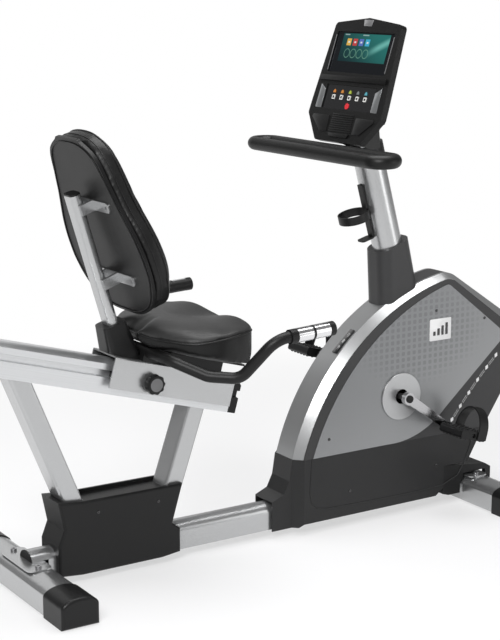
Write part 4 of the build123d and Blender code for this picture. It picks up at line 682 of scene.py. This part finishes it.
def along(table, x):
    """A smooth value from a short table of places and heights."""
    for (x0, h0), (x1, h1) in zip(table, table[1:]):
        if x <= x1:
            t = max(0.0, (x - x0) / (x1 - x0))
            t = t * t * (3 - 2 * t)
            return h0 + (h1 - h0) * t
    return table[-1][1]


def seat_edge_height(x):
    return along(SEAT_EDGE, x)


def seat_top(x, y, reach):
    edge = seat_edge_height(x)
    crown = along(SEAT_CREST, x) - edge
    lip = 0.010 * math.exp(-((abs(y) - 0.115) / 0.055) ** 2 - ((x + 0.150) / 0.045) ** 2)
    channel = 0.012 * math.exp(-(y / 0.050) ** 2) * max(0.0, min(1.0, (x + 0.27) / 0.10))
    return edge + (crown + lip - channel) * (1 - reach ** 5)


def seat_bottom(x, y):
    level = RAIL_FOOT_Z + (RAIL_FOOT_X - x) * math.tan(RAIL_SLOPE) + SEAT_CLEAR
    share = max(0.0, min(1.0, (x - SEAT_NOSE_X) / (SEAT_FRONT - SEAT_NOSE_X)))
    return level + (seat_edge_height(x) - SEAT_NOSE_DEPTH - level) * share ** 2.6


seat_shape = pad_shape(seat_plan, SEAT_MIDDLE, seat_top, seat_bottom)
seat = piece("seat_pad", seat_shape, seat_top_lit_vinyl, "seat")
seat.data.materials.append(seat_wall_shaded_vinyl)
puff(seat, 0.005, 3.0, 0.006)
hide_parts("seat_cushion")


def shade_walls(made, upward, limit):
    """Gives the walls of a pad the second, darker finish: painted shade."""
    for face in made.data.polygons:
        if face.normal.dot(upward) < limit:
            face.material_index = 1


# Faces that turn away from up take the darker vinyl as painted shade.
shade_walls(seat, Vector((0, 0, 1)), 0.35)


def hug(made, points, lift=0.0):
    """Moves a loop of points onto a piece's surface and evens it out."""
    tree = surface_tree(made.data)
    moved = []
    for point in points:
        spot, normal, _, _ = tree.find_nearest(point)
        moved.append(spot + normal * lift)
    for _ in range(6):
        moved = [(moved[i - 1] + moved[i] * 2 + moved[(i + 1) % len(moved)]) / 4 for i in range(len(moved))]
    return moved


seat_loop = smooth_loop([(x, y, seat_edge_height(x) - 0.004) for x, y in seat_plan], 150)
outward = [Vector((SEAT_MIDDLE[0] + (p.x - SEAT_MIDDLE[0]) * WELT_REACH, p.y * WELT_REACH, p.z + 0.001))
           for p in seat_loop]
cord_tube("seat_welt", hug(seat, outward, 0.0009), 0.0024, welt_vinyl, "seat")

# %% [markdown]
# ### The back rest
# The back pad is an egg, widest low down, on a moulded board. Its side wall has a welt at the board and a
# second seam where the front panel is sewn to the wall.

# %% Back cushion
BACK_LEAN = math.radians(19.6)
BACK_FOOT = Vector((-0.390, 0.0, 0.654))
BACK_WIDE, BACK_HIGH = 0.197, 0.457
BACK_SHARES = [(0.0, 0.0), (0.38, 0.009), (0.76, 0.083), (0.965, 0.22), (1.0, 0.33), (0.954, 0.47),
               (0.80, 0.64), (0.68, 0.80), (0.55, 0.925), (0.315, 0.985), (0.0, 1.0)]
BACK_HALF = [(a * BACK_WIDE, b * BACK_HIGH) for a, b in BACK_SHARES]
BACK_MIDDLE = (0.0, 0.19)
PAD_WALL, PAD_CROWN = 0.040, 0.016
back_plan = BACK_HALF + [(-x, y) for x, y in BACK_HALF[-2:0:-1]]
back_right = Vector((0, 1, 0))
back_out = Vector((math.cos(BACK_LEAN), 0, math.sin(BACK_LEAN)))
back_up = back_out.cross(back_right)
on_back = Matrix.Translation(BACK_FOOT) @ Matrix((back_right, back_up, back_out)).transposed().to_4x4()


def back_front(x, y, reach):
    lumbar = 0.008 * math.exp(-((y - 0.15) / 0.07) ** 2)
    wings = 0.010 * min(1.0, (x / 0.16) ** 2)
    return PAD_WALL + (PAD_CROWN + lumbar - wings * 0.4) * (1 - reach ** 6)


back = piece("back_pad", pad_shape(back_plan, BACK_MIDDLE, back_front, lambda x, y: 0.001),
             back_vinyl, "seat", on_back)
puff(back, 0.005, 3.0, 0.006)
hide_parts("backrest_cushion")


def back_ring(scale, depth, count=150):
    middle = BACK_MIDDLE[1]
    corners = [(x * scale, middle + (y - middle) * scale, depth) for x, y in back_plan]
    return [on_back @ p for p in smooth_loop(corners, count)]


cord_tube("back_front_welt", hug(back, back_ring(1.05, PAD_WALL + 0.004), 0.0010), 0.0022, welt_vinyl,
          "seat")
cord_tube("back_wall_seam", hug(back, back_ring(1.05, 0.016), 0.0006), 0.0014, welt_vinyl, "seat")
cord_tube("board_welt", back_ring(0.955, -0.0088), 0.0022, board_plastic, "seat")

# %% [markdown]
# ## Labels
# The side plates and the spine carry plain signs only: a rising row of bars, and a slim notched bar.
# The plates are cut from thin sheet and lie on the side panels.

# %% Side plates
label_white = gloss_plastic("label_white", (0.78, 0.78, 0.78, 1), 0.25)
label_black = gloss_plastic("label_black", (0.006, 0.006, 0.007, 1), 0.2)
_, panel_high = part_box("side_panels")
PLATE_PLACE, PLATE_SIZE = (0.533, 0.5065), (0.074, 0.0600)


def on_side(side, x, z, out=0.0):
    """Local x forward, y up and z outwards on one side of the housing."""
    facing = Vector((0, side, 0))
    upward = Vector((0, 0, 1))
    forward = upward.cross(facing)
    base = Matrix((forward, upward, facing)).transposed().to_4x4()
    return Matrix.Translation((x, facing.y * (panel_high.y + out), z)) @ base


for side, word in ((-1, "right"), (1, "left")):
    plate_at = on_side(side, *PLATE_PLACE)
    piece(f"side_plate_{word}", slab(rounded(*PLATE_SIZE, 0.003), 0.0008, 0.0002), label_white, "frame",
          plate_at)
    bars = bmesh.new()
    for index in range(4):
        tall = 0.012 + 0.007 * index
        join(bars, slab(rounded(0.0085, tall, 0.0012, 2), 0.0004, 0),
             at(-0.021 + 0.014 * index, -0.016 + tall / 2, 0.0008))
    piece(f"side_plate_bars_{word}", bars, label_black, "frame", plate_at)

# %% [markdown]
# ## Stripes on the dark front
# A fine double line with small diamonds runs up the dark front of the housing.

# %% Front stripes
STRIPE_START, STRIPE_END = Vector((0.574, 0.231)), Vector((0.755, 0.424))
STRIPE_BULGE = 0.006
DIAMONDS, DIAMOND_START, DIAMOND_STEP = 6, 0.06, 0.17
DIAMOND_HALF, DIAMOND_TURN = (0.0085, 0.0058), math.radians(62)
LINE_OFFSET, LINE_GAP = 0.0026, 0.021


def stripe_point(t):
    along_line = STRIPE_START.lerp(STRIPE_END, t)
    side_way = Vector((STRIPE_END.y - STRIPE_START.y, STRIPE_START.x - STRIPE_END.x)).normalized()
    return along_line - side_way * STRIPE_BULGE * math.sin(math.pi * t)


_, shell_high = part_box("housing_shell_left")
for side, word in ((-1, "right"), (1, "left")):
    marks = bmesh.new()
    for index in range(DIAMONDS):
        share = DIAMOND_START + DIAMOND_STEP * index
        spot = stripe_point(share)
        long, wide = DIAMOND_HALF
        diamond = slab([(long, 0), (0, wide), (-long, 0), (0, -wide)], 0.0004, 0)
        join(marks, diamond, at(spot.x, spot.y) @ Matrix.Rotation(DIAMOND_TURN, 4, "Z"))
        if index == DIAMONDS - 1:
            break
        middle = stripe_point(share + DIAMOND_STEP / 2)
        ahead = middle - spot
        turn = Matrix.Rotation(math.atan2(ahead.y, ahead.x), 4, "Z")
        for offset in (-LINE_OFFSET, LINE_OFFSET):
            line = slab(rounded(ahead.length * 2 - LINE_GAP, 0.0007, 0.0003, 1), 0.0003, 0)
            join(marks, line, at(middle.x, middle.y) @ turn @ at(0, offset))
    plane = Matrix(((1, 0, 0, 0), (0, 0, side, side * (shell_high.y + 0.0001)), (0, 1, 0, 0), (0, 0, 0, 1)))
    piece(f"front_stripe_{word}", marks, label_white, "frame", plane)

# %% [markdown]
# ## The lower cover's step
# The lower cover is moulded with a raised field whose edge runs down behind and turns forward. A round
# bead along that edge catches the light as the step does.

# %% Lower cover bead
BEAD = [(0.112, 0.2055), (0.108, 0.150), (0.106, 0.112), (0.112, 0.084), (0.130, 0.068), (0.160, 0.062),
        (0.300, 0.058), (0.460, 0.056), (0.560, 0.060), (0.610, 0.078), (0.632, 0.112), (0.652, 0.160),
        (0.668, 0.2055)]
BEAD_SINK, BEAD_STEPS = 0.0002, 4
for side, word in ((-1, "right"), (1, "left")):
    corners = [Vector((x, side * (shell_high.y - BEAD_SINK), z)) for x, z in BEAD]
    path = [start.lerp(end, step / BEAD_STEPS) for start, end in zip(corners, corners[1:])
            for step in range(BEAD_STEPS)]
    path.append(corners[-1])
    cord_tube(f"lower_bead_{word}", path, 0.0018, cover_plastic, "frame", closed=False)

# %% [markdown]
# ## The spine's mark
# A slim dark plate with three light notches sits on the spine, with a fine line above it.

# %% Spine plate
trim_tree = surface_tree(nodes["bright_trim"].data)


def on_spine(y, z):
    """Place on the spine's outside: local x up along it, y across to the right, z outwards."""
    hit, _, _, _ = trim_tree.ray_cast(Vector((-0.3, y, z)), Vector((1, 0, 0)))
    above, _, _, _ = trim_tree.ray_cast(Vector((-0.3, y, z + 0.01)), Vector((1, 0, 0)))
    along_it = (above - hit).normalized()
    outwards = along_it.cross(Vector((0, 1, 0)))
    if outwards.x > 0:
        outwards = -outwards
    across = outwards.cross(along_it)
    return Matrix.Translation(hit) @ Matrix((along_it, across, outwards)).transposed().to_4x4()


SPINE_PLATE_Z, SPINE_PLATE_Y = 0.500, -0.020
spine_at = on_spine(SPINE_PLATE_Y, SPINE_PLATE_Z)
piece("spine_plate", slab(rounded(0.082, 0.022, 0.004), 0.0016, 0.0005), label_black, "frame",
      spine_at @ at(0, 0, -0.0003))
notches = bmesh.new()
for index in range(3):
    join(notches, slab([(0.008, 0.004), (-0.004, 0.004), (-0.008, -0.004), (0.004, -0.004)], 0.0004, 0),
         at(-0.022 + 0.022 * index, 0, 0.0009))
piece("spine_plate_notches", notches, label_white, "frame", spine_at)

# %% [markdown]
# ## Screws
# Self-tapping screws hold the covers.

# %% Cover screws
SCREW_RADIUS = 0.0042
HOUSING_SCREWS = [(0.165, 0.253), (0.518, 0.560), (0.690, 0.520)]
LOWER_SCREWS = [(0.236, 0.098), (0.531, 0.120)]
PEDESTAL_SCREWS = [(-0.512, 0.174), (-0.345, 0.171)]
_, pedestal_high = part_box("pedestal_cover_left")


def screw():
    """A pan head with a cross slot."""
    made = button(SCREW_RADIUS, 0.0011, 0.0005, 16)
    for angle in (0, math.pi / 2):
        slot_bar = slab(rounded(SCREW_RADIUS * 1.1, 0.0009, 0.0003, 1), 0.0003, 0)
        join(made, slot_bar, Matrix.Rotation(angle, 4, "Z") @ at(0, 0, 0.0011))
    return made


for side, word in ((-1, "right"), (1, "left")):
    heads = bmesh.new()
    for (x, z), half in ([(place, panel_high.y) for place in HOUSING_SCREWS] +
                         [(place, shell_high.y) for place in LOWER_SCREWS] +
                         [(place, pedestal_high.y) for place in PEDESTAL_SCREWS]):
        join(heads, screw(), on_side(side, x, z, half - panel_high.y))
    piece(f"cover_screws_{word}", heads, label_black, "frame")

# %% [markdown]
# ## The console's face
# Round the pane are silver side lines; below it a ledge holds a tablet. The keypad sits between two
# silver wings, and vents and speaker panels close the bottom.

# %% Console face
console_grey = moulded("console_grey", 0.011, 0.34)
strip_silver = silver_paint("strip_silver", (0.36, 0.37, 0.38, 1), 0.3)
bright_line = silver_paint("bright_line", (0.42, 0.42, 0.43, 1), 0.3)


def on_face(name, outline, thick, finish, rim=0.0006):
    return piece(name, slab(outline, thick, rim), finish, "frame", on_console)


for side, word in ((-1, "left"), (1, "right")):
    wing = [(side * u, v) for u, v in ((0.131, 0.150), (0.108, 0.136), (0.108, 0.086), (0.133, 0.086))]
    if side < 0:
        wing.reverse()
    on_face(f"console_wing_{word}", wing, 0.0012, strip_silver)
    line = [(side * 0.1235 + u, 0.236 + v) for u, v in rounded(0.0022, 0.096, 0.001, 2)]
    on_face(f"screen_line_{word}", line, 0.0010, bright_line, rim=0.0003)
    speaker = [(side * u, v) for u, v in ((0.058, 0.068), (0.056, 0.024), (0.086, 0.024), (0.134, 0.060),
                                          (0.130, 0.068))]
    if side > 0:
        speaker.reverse()
    on_face(f"speaker_panel_{word}", speaker, 0.0022, console_grey, rim=0.0014)

ledge = bmesh.new()
join(ledge, slab([(0.142, 0.160), (0.142, 0.174), (-0.142, 0.174), (-0.142, 0.160)], 0.006, 0.002))
piece("tablet_ledge", ledge, console_plastic, "frame", on_console)

vents = bmesh.new()
for index in range(9):
    rib = slab(rounded(0.094 - 0.0006 * index, 0.0028, 0.001, 2), 0.0022, 0.0006)
    join(vents, rib, at(0, 0.0285 + 0.0056 * index))
piece("console_vents", vents, console_grey, "frame", on_console)
on_face("console_foot_ledge", [(0.045, 0.0225), (-0.045, 0.0225), (-0.038, 0.0125), (0.038, 0.0125)], 0.003,
        console_grey, rim=0.0008)
emblem = [(0.020, 0.326), (-0.020, 0.326), (-0.016, 0.309), (0.016, 0.309)]
on_face("console_emblem", emblem, 0.0012, bright_line)

# %% [markdown]
# ## Keys
# Each key is a clear square with a bright frame round a dark middle, and above it a small lit sign.

# %% Key tops
KEY_ROW_V, KEY_STEP, KEY_OUT = 0.118, 0.034, -0.0015
key_low, key_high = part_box("key_3")
KEY_MARK_SIDE = 0.0066
SIGN_RISE, SIGN_OUT = 0.0155, -0.0014
SIGN_OUTLINE = [(0.0058, -0.004), (0.0044, 0.002), (0, 0.0052), (-0.0044, 0.002), (-0.0058, -0.004)]
SIGN_COLOURS = ((0.75, 0.25, 0.03, 1), (0.75, 0.28, 0.03, 1), (0.50, 0.62, 0.05, 1), (0.22, 0.25, 0.26, 1),
                (0.10, 0.45, 0.55, 1))
key_white = gloss_plastic("key_white", (0.72, 0.72, 0.70, 1), 0.3)


def glowing(name, colour):
    finish = Finish(name)
    cloud = finish.noise(300, 2)
    dark = tuple(c * 0.7 for c in colour[:3]) + (1,)
    lit = finish.blend(cloud, dark, colour)
    return finish.surface({"Base Color": (0.02, 0.02, 0.02, 1), "Roughness": 0.2, "Emission Color": lit,
                           "Emission Strength": 0.9})


for index, colour in enumerate(SIGN_COLOURS):
    name = f"key_{5 - index}"
    u = KEY_STEP * (index - 2)
    mesh = nodes[name].data
    mesh.materials.clear()
    mesh.materials.append(key_white)
    dark_top = slab(rounded(KEY_MARK_SIDE, KEY_MARK_SIDE, 0.001, 2), 0.0003, 0)
    piece(f"key_mark_{index + 1}", dark_top, label_black, name,
          on_console @ at(u, KEY_ROW_V, KEY_OUT))
    sign = slab(SIGN_OUTLINE, 0.0003, 0)
    piece(f"key_sign_{index + 1}", sign, glowing(f"sign_{index + 1}", colour), "frame",
          on_console @ at(u, KEY_ROW_V + SIGN_RISE, SIGN_OUT))
print("keys:", len(SIGN_COLOURS))

# %% [markdown]
# ## Crank, knob and pedals
# The crank bolt has a dark cap. The clamp knob gets nine lobes and a face with two raised rings.

# %% Crank caps
crank_joint = next(joint for joint in frame["joints"] if joint["name"] == "crank_spin")
crank_at = Vector(crank_joint["pos_m"])
_, arm_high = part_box("crank_arms")
for side, word in ((-1, "right"), (1, "left")):
    facing = on_side(side, crank_at.x, crank_at.z, arm_high.y - panel_high.y)
    piece(f"crank_cap_{word}", button(0.0105, 0.004, 0.0015), black_plastic, "crank", facing)

knob_low, knob_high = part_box("seat_knob")
knob_middle = (knob_low + knob_high) / 2
knob_face = button(0.0165, 0.0008, 0.0003, 32)
for radius in (0.013, 0.0085):
    ring = bmesh.new()
    bmesh.ops.create_circle(ring, radius=radius, segments=32)
    rise = bmesh.ops.extrude_edge_only(ring, edges=ring.edges[:])
    verts = [g for g in rise["geom"] if isinstance(g, bmesh.types.BMVert)]
    bmesh.ops.scale(ring, vec=(0.9, 0.9, 1), verts=verts)
    bmesh.ops.solidify(ring, geom=ring.faces[:], thickness=0.0006)
    join(knob_face, ring, at(0, 0, 0.0012))
KNOB_RADIUS, LOBE_COUNT, LOBE_DEPTH, LOBE_BACK = 0.0242, 9, 0.0014, 0.0145


def on_knob(back=0.0):
    """The knob's face, or a place behind it, with local z pointing out of the knob."""
    face = Matrix.Translation((knob_middle.x, knob_low.y + back, knob_middle.z))
    return face @ Matrix.Rotation(math.radians(90), 4, "X")


lobes = [(KNOB_RADIUS + LOBE_DEPTH * math.cos(LOBE_COUNT * a)) * Vector((math.cos(a), math.sin(a)))
         for a in [math.radians(5 * k) for k in range(72)]]
piece("knob_lobes", slab(lobes, 0.013, 0.002), black_plastic, "seat_knob",
      on_knob(LOBE_BACK))
knob_grey = moulded("knob_grey", 0.16, 0.5, 0.0002, 700)
piece("knob_face", knob_face, knob_grey, "seat_knob", on_knob())

# %% [markdown]
# ### Pedal treads
# Both faces of each pedal carry rows of six-sided studs for grip. They ride on the pedal, so they turn
# with it.

# %% Pedal studs
PEDAL_TILT = math.radians(16)
STUD_ROWS, STUD_COLUMNS, STUD_PITCH_X, STUD_PITCH_Y = 5, 6, 0.017, 0.0144
STUD_FACE = 0.0132
for word in ("right", "left"):
    joint = next(j for j in frame["joints"] if j["name"] == f"pedal_{word}_spin")
    place = Matrix.Translation(Vector(joint["pos_m"])) @ Matrix.Rotation(PEDAL_TILT, 4, "Y")
    studs = bmesh.new()
    for row in range(STUD_ROWS):
        for column in range(STUD_COLUMNS):
            x = STUD_PITCH_X * (row - (STUD_ROWS - 1) / 2)
            y = STUD_PITCH_Y * (column - (STUD_COLUMNS - 1) / 2)
            for face_up, flip in ((1, 0), (-1, math.pi)):
                stud = bmesh.new()
                bmesh.ops.create_cone(stud, cap_ends=True, segments=6, radius1=0.0042, radius2=0.0026,
                                      depth=0.0026)
                join(studs, stud, at(x, y, face_up * STUD_FACE) @ Matrix.Rotation(flip, 4, "X"))
    piece(f"pedal_studs_{word}", studs, tread_plastic, f"pedal_{word}", place)

# %% [markdown]
# ## Floor and light
# A plain pale floor takes a soft shadow, and broad lamps give the long soft highlights of a studio.

# %% Floor
floor_mesh = bmesh.new()
bmesh.ops.create_grid(floor_mesh, x_segments=1, y_segments=1, size=12)
bmesh.ops.translate(floor_mesh, verts=floor_mesh.verts, vec=(0, 0, -0.0006))
floor_data = bpy.data.meshes.new("floor")
floor_mesh.to_mesh(floor_data)
floor_mesh.free()
floor = bpy.data.objects.new("floor", floor_data)
bpy.context.scene.collection.objects.link(floor)

floor_finish = Finish("floor_white")
seen = floor_finish.node("ShaderNodeLightPath", output="Is Camera Ray").most(
    floor_finish.node("ShaderNodeLightPath", output="Is Glossy Ray")).most(
    floor_finish.node("ShaderNodeLightPath", output="Is Transmission Ray"))
matt = floor_finish.node("ShaderNodeBsdfDiffuse", {}, {"Color": (0.86, 0.86, 0.87, 1)})
lit = floor_finish.node("ShaderNodeEmission", {}, {"Color": (1, 1, 1, 1), "Strength": 1.0})
floor_x, floor_y, _ = floor_finish.xyz()
far = (floor_x ** 2 + floor_y ** 2).ramp(1.2, 6.0)
mixed = floor_finish.node("ShaderNodeMixShader", {}, {0: seen * (far * 0.45 + 0.55), 1: matt, 2: lit})
floor_finish.node("ShaderNodeOutputMaterial", {}, {"Surface": mixed})
floor_data.materials.append(floor_finish.material)

# %% [markdown]
# ### Lamps and backdrop
# Four broad lamps stand round the bike. The backdrop is white to the camera and dim to everything else,
# so the dark parts stay dark.

# %% Lights
def lamp(name, place, aim, width, height, power):
    data = bpy.data.lights.new(name, "AREA")
    data.shape = "RECTANGLE"
    data.size, data.size_y, data.energy = width, height, power
    made = bpy.data.objects.new(name, data)
    made.location = place
    made.rotation_euler = (Vector(aim) - Vector(place)).to_track_quat("-Z", "Y").to_euler()
    bpy.context.scene.collection.objects.link(made)


lamp("key", (-2.4, -2.2, 2.6), (0.0, 0, 0.5), 1.4, 1.2, 95)
lamp("top", (0.2, 0.1, 3.2), (0.1, 0, 0.3), 2.6, 1.6, 75)
lamp("side", (2.4, -3.0, 1.2), (0.2, 0, 0.6), 1.2, 2.4, 18)
lamp("back", (0.4, 3.4, 1.8), (0, 0, 0.6), 3.0, 2.0, 12)

world = bpy.data.worlds.new("studio")
studio = Finish("studio", world)
shown = studio.node("ShaderNodeLightPath", output="Is Camera Ray")
ambient = studio.node("ShaderNodeBackground", {}, {"Color": (1, 1, 1, 1), "Strength": 0.24})
backdrop = studio.node("ShaderNodeBackground", {}, {"Color": (1, 1, 1, 1), "Strength": 1.0})
studio_sky = studio.node("ShaderNodeMixShader", {}, {0: shown, 1: ambient, 2: backdrop})
studio.node("ShaderNodeOutputWorld", {}, {"Surface": studio_sky})
bpy.context.scene.world = world
bpy.context.scene.view_settings.view_transform = "Standard"
